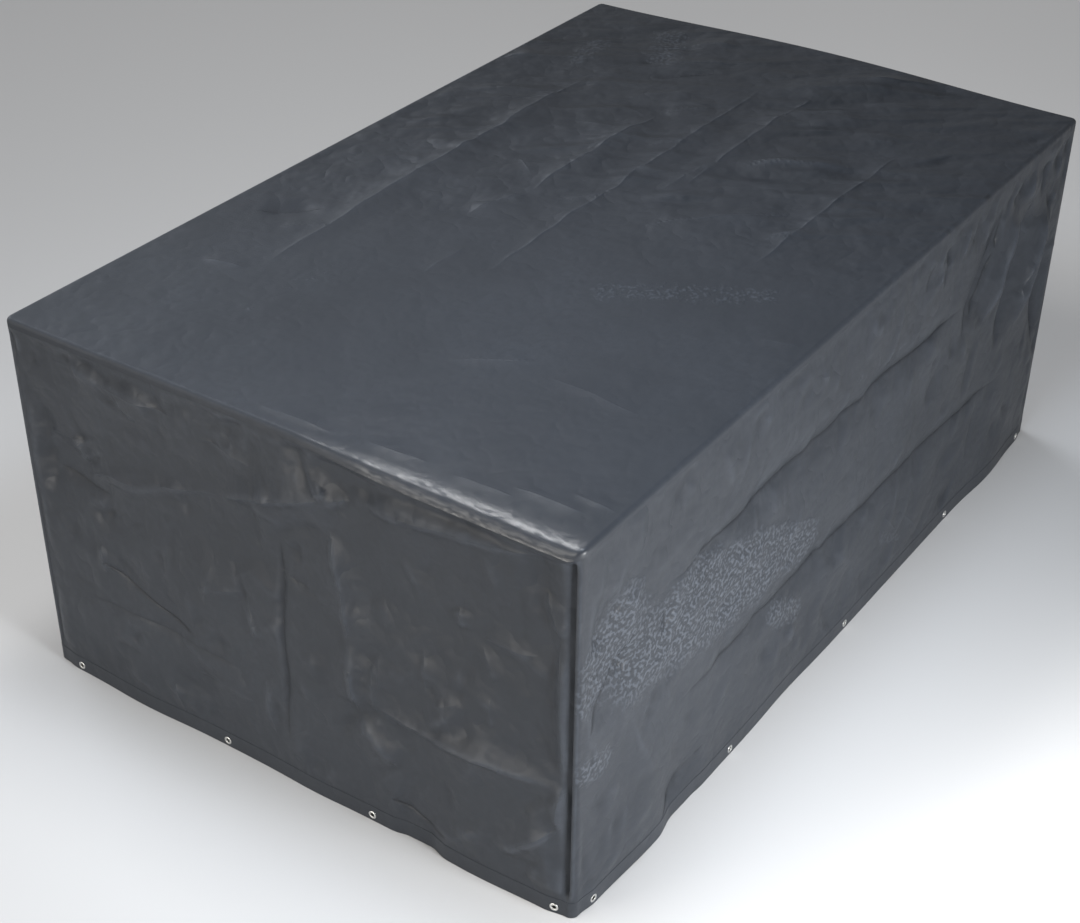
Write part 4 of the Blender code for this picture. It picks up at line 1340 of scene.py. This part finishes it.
def cloth_colour(tree, marks, colour, painted_glint_specks):
    """The coating's colour: blotched and mottled; paler on crests and ridge lines, part wear and part
    painted highlight; darker in hollows and creases from painted shade; with pale painted glint flecks.
    """
    blotches = tree.noise(marks.here, scale=3.2, detail=4, roughness=0.6)
    blotches = tree.between(blotches, 0.3, 0.7, 0.0, 1.0)
    base = tree.mixed(blotches, shade(colour, 0.82), shade(colour, 1.18))
    mottle = tree.noise(marks.here, scale=75, detail=5, roughness=0.75)
    base = tree.mixed(tree.between(mottle, 0.35, 0.65, 0.0, 1.0), shade(colour, 0.9), base)

    # Crests and ridge lines turn paler: part wear, part painted highlight.
    scuffs = tree.noise(marks.here, scale=60)
    wear_and_painted_highlight = tree.math("MULTIPLY", tree.between(marks.crest, 0.1, 0.8, 0.0, 0.7), scuffs)
    ridges = tree.between(marks.crease, 0.0005, 0.004, 0.0, 0.5)
    ridge_wear_and_painted_highlight = tree.math("MULTIPLY", ridges, falling(tree, marks.apart, RIDGE_WEAR_AND_HIGHLIGHT_WIDTH))
    base = tree.mixed(tree.math("MAXIMUM", wear_and_painted_highlight, ridge_wear_and_painted_highlight), base, shade(colour, 1.9))

    # Hollows and trough lines turn darker: painted shade.
    painted_hollow_shade = tree.between(marks.crest, -0.8, -0.1, 0.5, 0.0)
    troughs = tree.between(marks.crease, -0.004, -0.0005, 1.0, 0.0)
    painted_crease_shade = tree.math("MULTIPLY", troughs, falling(tree, marks.apart, LINE_WIDTH))
    base = tree.mixed(tree.math("MAXIMUM", painted_hollow_shade, painted_crease_shade), base, shade(colour, 0.55))
    # The glint flecks turn much paler: a painted glint.
    return tree.mixed(tree.math("MULTIPLY", painted_glint_specks, 0.5), base, shade(colour, 3.0))


def cloth_finish(tree, marks, cloth, painted_glint_specks):
    """The coating's shine: uneven, keener in the painted glint flecks, with a clear gloss where rubbing has
    polished it.
    """
    patches = tree.noise(marks.here, scale=7, detail=5, roughness=0.6)
    dull = tree.between(patches, 0.3, 0.7, cloth.roughness - 0.05, cloth.roughness + 0.06)
    dull = tree.math("SUBTRACT", dull, tree.math("MULTIPLY", painted_glint_specks, 0.1))
    tree.give(tree.shader.inputs["Roughness"], dull)
    tree.give(tree.shader.inputs["Specular IOR Level"], cloth.gloss)
    rubbing = tree.noise(tree.scaled(marks.cut, RUB_PER_METRE), scale=1, detail=3, roughness=0.6)
    rubbing = tree.between(rubbing, 0.38, 0.58, 0.1, 1.0)
    tree.give(tree.shader.inputs["Coat Weight"], tree.math("MULTIPLY", marks.polish, rubbing))
    tree.give(tree.shader.inputs["Coat Roughness"], cloth.edge_roughness)


def dented(tree, marks):
    """Broad dents and flat facets, weaker where the cloth is drawn smooth."""
    lively = tree.between(marks.slack, 0, 0.5, 0.35, 1)
    dents = tree.noise(marks.here, scale=8, detail=3, roughness=0.5)
    normal = tree.bump(tree.math("MULTIPLY", dents, lively), DENT_DEPTH)
    facets = tree.noise(marks.here, scale=11, detail=2, roughness=0.5)
    facets = tree.math("ABSOLUTE", tree.math("SUBTRACT", facets, 0.5))
    return tree.bump(tree.math("MULTIPLY", facets, lively), FACET_DEPTH, normal)


def wrinkled(tree, marks, normal):
    """Fine wrinkles in patches, ripples along the grain where it is slack, and a small crinkle."""
    patches = tree.between(tree.noise(marks.here, scale=3.4, detail=2), 0.35, 0.65, 0.25, 1.0)
    loose = tree.math("MULTIPLY", patches, tree.between(marks.slack, 0, 1, 0.1, 1))
    along = tree.scaled(marks.grain, WRINKLES_PER_METRE)
    wrinkles = tree.noise(along, scale=1, detail=1.5, roughness=0.45)
    normal = tree.bump(tree.math("MULTIPLY", wrinkles, loose), WRINKLE_DEPTH, normal)
    along = tree.scaled(marks.grain, RIPPLES_PER_METRE)
    ripples = tree.noise(along, scale=1, detail=2.5, roughness=0.5, kind=RIDGED)
    slackest = tree.between(marks.slack, 0.5, 1, 0, 1)
    normal = tree.bump(tree.math("MULTIPLY", ripples, slackest), RIPPLE_DEPTH, normal)
    crinkle = tree.noise(marks.here, scale=26, detail=4, roughness=0.5, kind=RIDGED)
    return tree.bump(tree.math("MULTIPLY", crinkle, loose), CRINKLE_DEPTH, normal)


def cover_cloth(cloth):
    """Coated tape weave, dark blue-grey: mottled, paler on its crests from wear and painted highlight,
    darker in its creases from painted shade, finely crinkled.
    """
    tree = Tree("coated_weave")
    marks = Marks(tree)
    worms = tree.noise(marks.cut, scale=112, detail=0.8, roughness=0.5)
    zone = glitter_zone(tree, marks)
    # Pale flecks in the glitter zones: a glint painted into the colour, where the coating is also less
    # dull.
    painted_glint_specks = tree.math("MULTIPLY", tree.between(worms, 0.5, 0.58, 0.0, 1.0), zone)
    tree.give(tree.shader.inputs["Base Color"], cloth_colour(tree, marks, cloth.colour, painted_glint_specks))
    cloth_finish(tree, marks, cloth, painted_glint_specks)

    normal = wrinkled(tree, marks, dented(tree, marks))
    sharp = tree.math("MULTIPLY", marks.crease, falling(tree, marks.apart, LINE_WIDTH))
    normal = tree.bump(sharp, LINE_DEPTH, normal)
    normal = tree.bump(tree.math("MULTIPLY", worms, zone), WORM_DEPTH, normal)
    normal = tree.bump(weave_of(tree, marks.cut, cloth.tape), cloth.weave_depth, normal)
    tree.give(tree.shader.inputs["Normal"], normal)
    tree.give(tree.shader.inputs["Coat Normal"], normal)
    return tree.material


def eyelet_metal(metal):
    """Plated metal with fine scratches and a slightly dull bloom."""
    tree = Tree("plated_metal")
    here = tree.add("ShaderNodeTexCoord").outputs["Object"]
    bloom = tree.noise(here, scale=260, detail=4, roughness=0.6)
    bloom = tree.between(bloom, 0.35, 0.7, 0.0, 1.0)
    colour = tree.mixed(bloom, shade(metal.colour, 1.0), shade(metal.colour, 0.78))
    dull = tree.between(bloom, 0, 1, metal.roughness, metal.roughness + 0.16)
    scratches = tree.noise(here, scale=900, detail=2)
    tree.give(tree.shader.inputs["Base Color"], colour)
    tree.give(tree.shader.inputs["Roughness"], dull)
    tree.give(tree.shader.inputs["Metallic"], 1.0)
    tree.give(tree.shader.inputs["Normal"], tree.bump(scratches, SCRATCH_DEPTH))
    return tree.material


def floor_finish(colour):
    """A plain matt floor."""
    tree = Tree("pale_floor")
    tree.give(tree.shader.inputs["Base Color"], (*colour, 1))
    tree.give(tree.shader.inputs["Roughness"], 0.9)
    tree.give(tree.shader.inputs["Specular IOR Level"], 0.1)
    return tree.material


def the_material(name, make, settings):
    """A material that several operators share: found by its name, or made."""
    return bpy.data.materials.get(name) or make(settings)


# ---------------------------------------------------------------- operators
class COVER_OT_stage(bpy.types.Operator):
    """Add the floor, the soft studio light and the camera."""

    bl_idname = "rain_cover.stage"
    bl_label = "Floor, Light and Camera"

    def execute(self, context):
        settings = context.scene.rain_cover_stage
        add_floor(settings)
        add_light(context.scene, settings)
        add_camera(context.scene)
        return {"FINISHED"}


class COVER_OT_hems(bpy.types.Operator):
    """Add the four doubled hems, with a hole for each eyelet."""

    bl_idname = "rain_cover.hems"
    bl_label = "Hems"

    def execute(self, context):
        settings = context.scene.rain_cover_cloth
        material = the_material("coated_weave", cover_cloth, settings)
        for wall in WALLS:
            piece = sheet_object(f"hem_{wall.name}_cloth", hem_surface(wall), HEM_CLOTH, material)
            cut_holes(piece, wall)
            take_over(piece, f"hem_{wall.name}")
        return {"FINISHED"}


class COVER_OT_eyelets(bpy.types.Operator):
    """Add the pressed metal eyelets along the hems."""

    bl_idname = "rain_cover.eyelets"
    bl_label = "Eyelets"

    def execute(self, context):
        metal = the_material("plated_metal", eyelet_metal, context.scene.rain_cover_eyelets)
        points, faces = turned(eyelet_profile(), EYELET_STEPS)
        for name, wall, run in eyelets():
            ring = placed_mesh(f"eyelet_{name}_ring", points, faces, eyelet_place(wall, run), metal)
            take_over(ring, f"eyelet_{name}")
        return {"FINISHED"}


class COVER_OT_walls(bpy.types.Operator):
    """Add the two long side panels and the two end panels."""

    bl_idname = "rain_cover.walls"
    bl_label = "Wall Panels"

    def execute(self, context):
        settings = context.scene.rain_cover_cloth
        material = the_material("coated_weave", cover_cloth, settings)
        for wall in WALLS:
            piece = sheet_object(f"{wall.name}_cloth", wall_surface(wall, settings), CLOTH, material)
            take_over(piece, wall.name.replace("_", "_panel_"))
            goes_with = [f"hem_{wall.name}_cloth"]
            goes_with += [f"eyelet_{name}_ring" for name, on, _ in eyelets() if on is wall]
        return {"FINISHED"}


class COVER_OT_top(bpy.types.Operator):
    """Add the top panel, its border rolled over the edge."""

    bl_idname = "rain_cover.top"
    bl_label = "Top Panel"

    def execute(self, context):
        settings = context.scene.rain_cover_cloth
        material = the_material("coated_weave", cover_cloth, settings)
        piece = sheet_object("top_cloth", top_surface(settings), CLOTH, material)
        take_over(piece, "top_panel")
        return {"FINISHED"}


def take_over(piece, node):
    """The piece stands for a CAD node and moves with the cover's one body."""
    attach(piece, "root")
    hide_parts(node)


def cut_holes(hem, wall):
    """Cuts a hem for its eyelets' barrels."""
    cutters = [
        hole_cutter(f"{name}_hole", eyelet_place(wall, run))
        for name, on, run in eyelets()
        if on is wall
    ]
    for cutter in cutters:
        cut = hem.modifiers.new(cutter.name, "BOOLEAN")
        cut.operation = "DIFFERENCE"
        cut.object = cutter
    apply_modifiers(hem)
    for cutter in cutters:
        bpy.data.meshes.remove(cutter.data)


def add_floor(settings):
    """A plain square floor under the cover."""
    corners = [(FLOOR_HALF * x, FLOOR_HALF * y, 0) for x, y in ((-1, -1), (1, -1), (1, 1), (-1, 1))]
    mesh = bpy.data.meshes.new("floor")
    mesh.from_pydata(corners, [], [(0, 1, 2, 3)])
    mesh.materials.append(floor_finish(settings.floor))
    floor = bpy.data.objects.new("floor", mesh)
    bpy.context.scene.collection.objects.link(floor)


def add_light(scene, settings):
    """A dim even sky, wide domes from the left and from behind, and soft boxes round the cover."""
    add_sky(scene, settings.sky)
    for dome in DOMES:
        add_dome(scene, dome, settings.lights)
    for box in SOFT_BOXES:
        add_soft_box(scene, box, settings.lights)
    scene.view_settings.view_transform = "Standard"


def add_sky(scene, strength):
    """Plain white light from all round."""
    scene.world = bpy.data.worlds.new("studio")
    scene.world.use_nodes = True
    sky = scene.world.node_tree.nodes["Background"]
    sky.inputs["Color"].default_value = (1, 1, 1, 1)
    sky.inputs["Strength"].default_value = strength


def add_dome(scene, dome, share):
    """A dome's light, as a sun that looks as wide as the dome."""
    data = bpy.data.lights.new(dome.name, "SUN")
    data.angle = math.radians(dome.width)
    data.energy = dome.strength * share
    data.color = dome.colour
    turn, rise = math.radians(dome.azimuth), math.radians(dome.elevation)
    down = (-math.cos(turn) * math.cos(rise), -math.sin(turn) * math.cos(rise), -math.sin(rise))
    add_lamp(scene, data, DOMES_AT, down)


def add_soft_box(scene, box, share):
    """A soft box's light, turned towards what it lights."""
    data = bpy.data.lights.new(box.name, "AREA")
    data.shape = "RECTANGLE"
    data.size, data.size_y = box.size
    data.spread = math.radians(box.spread)
    data.energy = box.power * share
    data.color = box.colour
    add_lamp(scene, data, box.at, Vector(box.towards) - Vector(box.at))


def add_lamp(scene, data, at, heading):
    """A light at a place, turned along a heading. The camera doesn't see the light itself."""
    lamp = bpy.data.objects.new(data.name, data)
    lamp.location = at
    lamp.rotation_euler = Vector(heading).to_track_quat("-Z", "Y").to_euler()
    lamp.visible_camera = False
    scene.collection.objects.link(lamp)


def add_camera(scene):
    """The camera, from its place, its direction as azimuth and elevation, and its roll."""
    level = math.cos(CAMERA_ELEVATION)
    back_x, back_y = math.sin(CAMERA_AZIMUTH) * level, -math.cos(CAMERA_AZIMUTH) * level
    back = Vector((back_x, back_y, math.sin(CAMERA_ELEVATION)))
    right = Vector((0, 0, 1)).cross(back).normalized()
    up = back.cross(right)
    rolled_right = math.cos(CAMERA_ROLL) * right + math.sin(CAMERA_ROLL) * up
    rolled_up = math.cos(CAMERA_ROLL) * up - math.sin(CAMERA_ROLL) * right
    turn = Matrix((rolled_right, rolled_up, back)).transposed()
    data = bpy.data.cameras.new("camera")
    data.sensor_width = CAMERA_SENSOR_MM
    data.sensor_fit = "HORIZONTAL"
    data.lens = CAMERA_LENS_MM
    data.clip_end = CAMERA_SEES
    camera = bpy.data.objects.new("camera", data)
    camera.matrix_world = Matrix.Translation(CAMERA_AT) @ turn.to_4x4()
    scene.collection.objects.link(camera)
    scene.camera = camera


class COVER_PT_panel(bpy.types.Panel):
    """Lists the cover's pieces and the settings of its cloth, metal and light."""

    bl_label = "Rain Cover"
    bl_space_type = "VIEW_3D"
    bl_region_type = "UI"
    bl_category = "Rain Cover"

    def draw(self, context):
        for operator in OPERATORS:
            self.layout.operator(operator.bl_idname)
        for key, group in SETTINGS.items():
            box = self.layout.box()
            for name in group.__annotations__:
                box.prop(getattr(context.scene, key), name)


SETTINGS = {
    "rain_cover_cloth": ClothSettings,
    "rain_cover_eyelets": EyeletSettings,
    "rain_cover_stage": StageSettings,
}
OPERATORS = (COVER_OT_stage, COVER_OT_hems, COVER_OT_eyelets, COVER_OT_walls, COVER_OT_top)


def register():
    """Tells Blender of the cover's settings, operators and panel."""
    for cls in (*SETTINGS.values(), *OPERATORS, COVER_PT_panel):
        bpy.utils.register_class(cls)
    for key, group in SETTINGS.items():
        setattr(bpy.types.Scene, key, PointerProperty(type=group))


def unregister():
    """Takes them away again."""
    for key in SETTINGS:
        delattr(bpy.types.Scene, key)
    for cls in reversed((*SETTINGS.values(), *OPERATORS, COVER_PT_panel)):
        bpy.utils.unregister_class(cls)


def write_size():
    """Brings the view layer up to date."""
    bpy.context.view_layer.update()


def main():
    """Builds the whole cover on its stage."""
    register()
    bpy.ops.rain_cover.stage()
    bpy.ops.rain_cover.hems()
    bpy.ops.rain_cover.eyelets()
    bpy.ops.rain_cover.walls()
    bpy.ops.rain_cover.top()
    write_size()


if __name__ == "__main__":
    main()
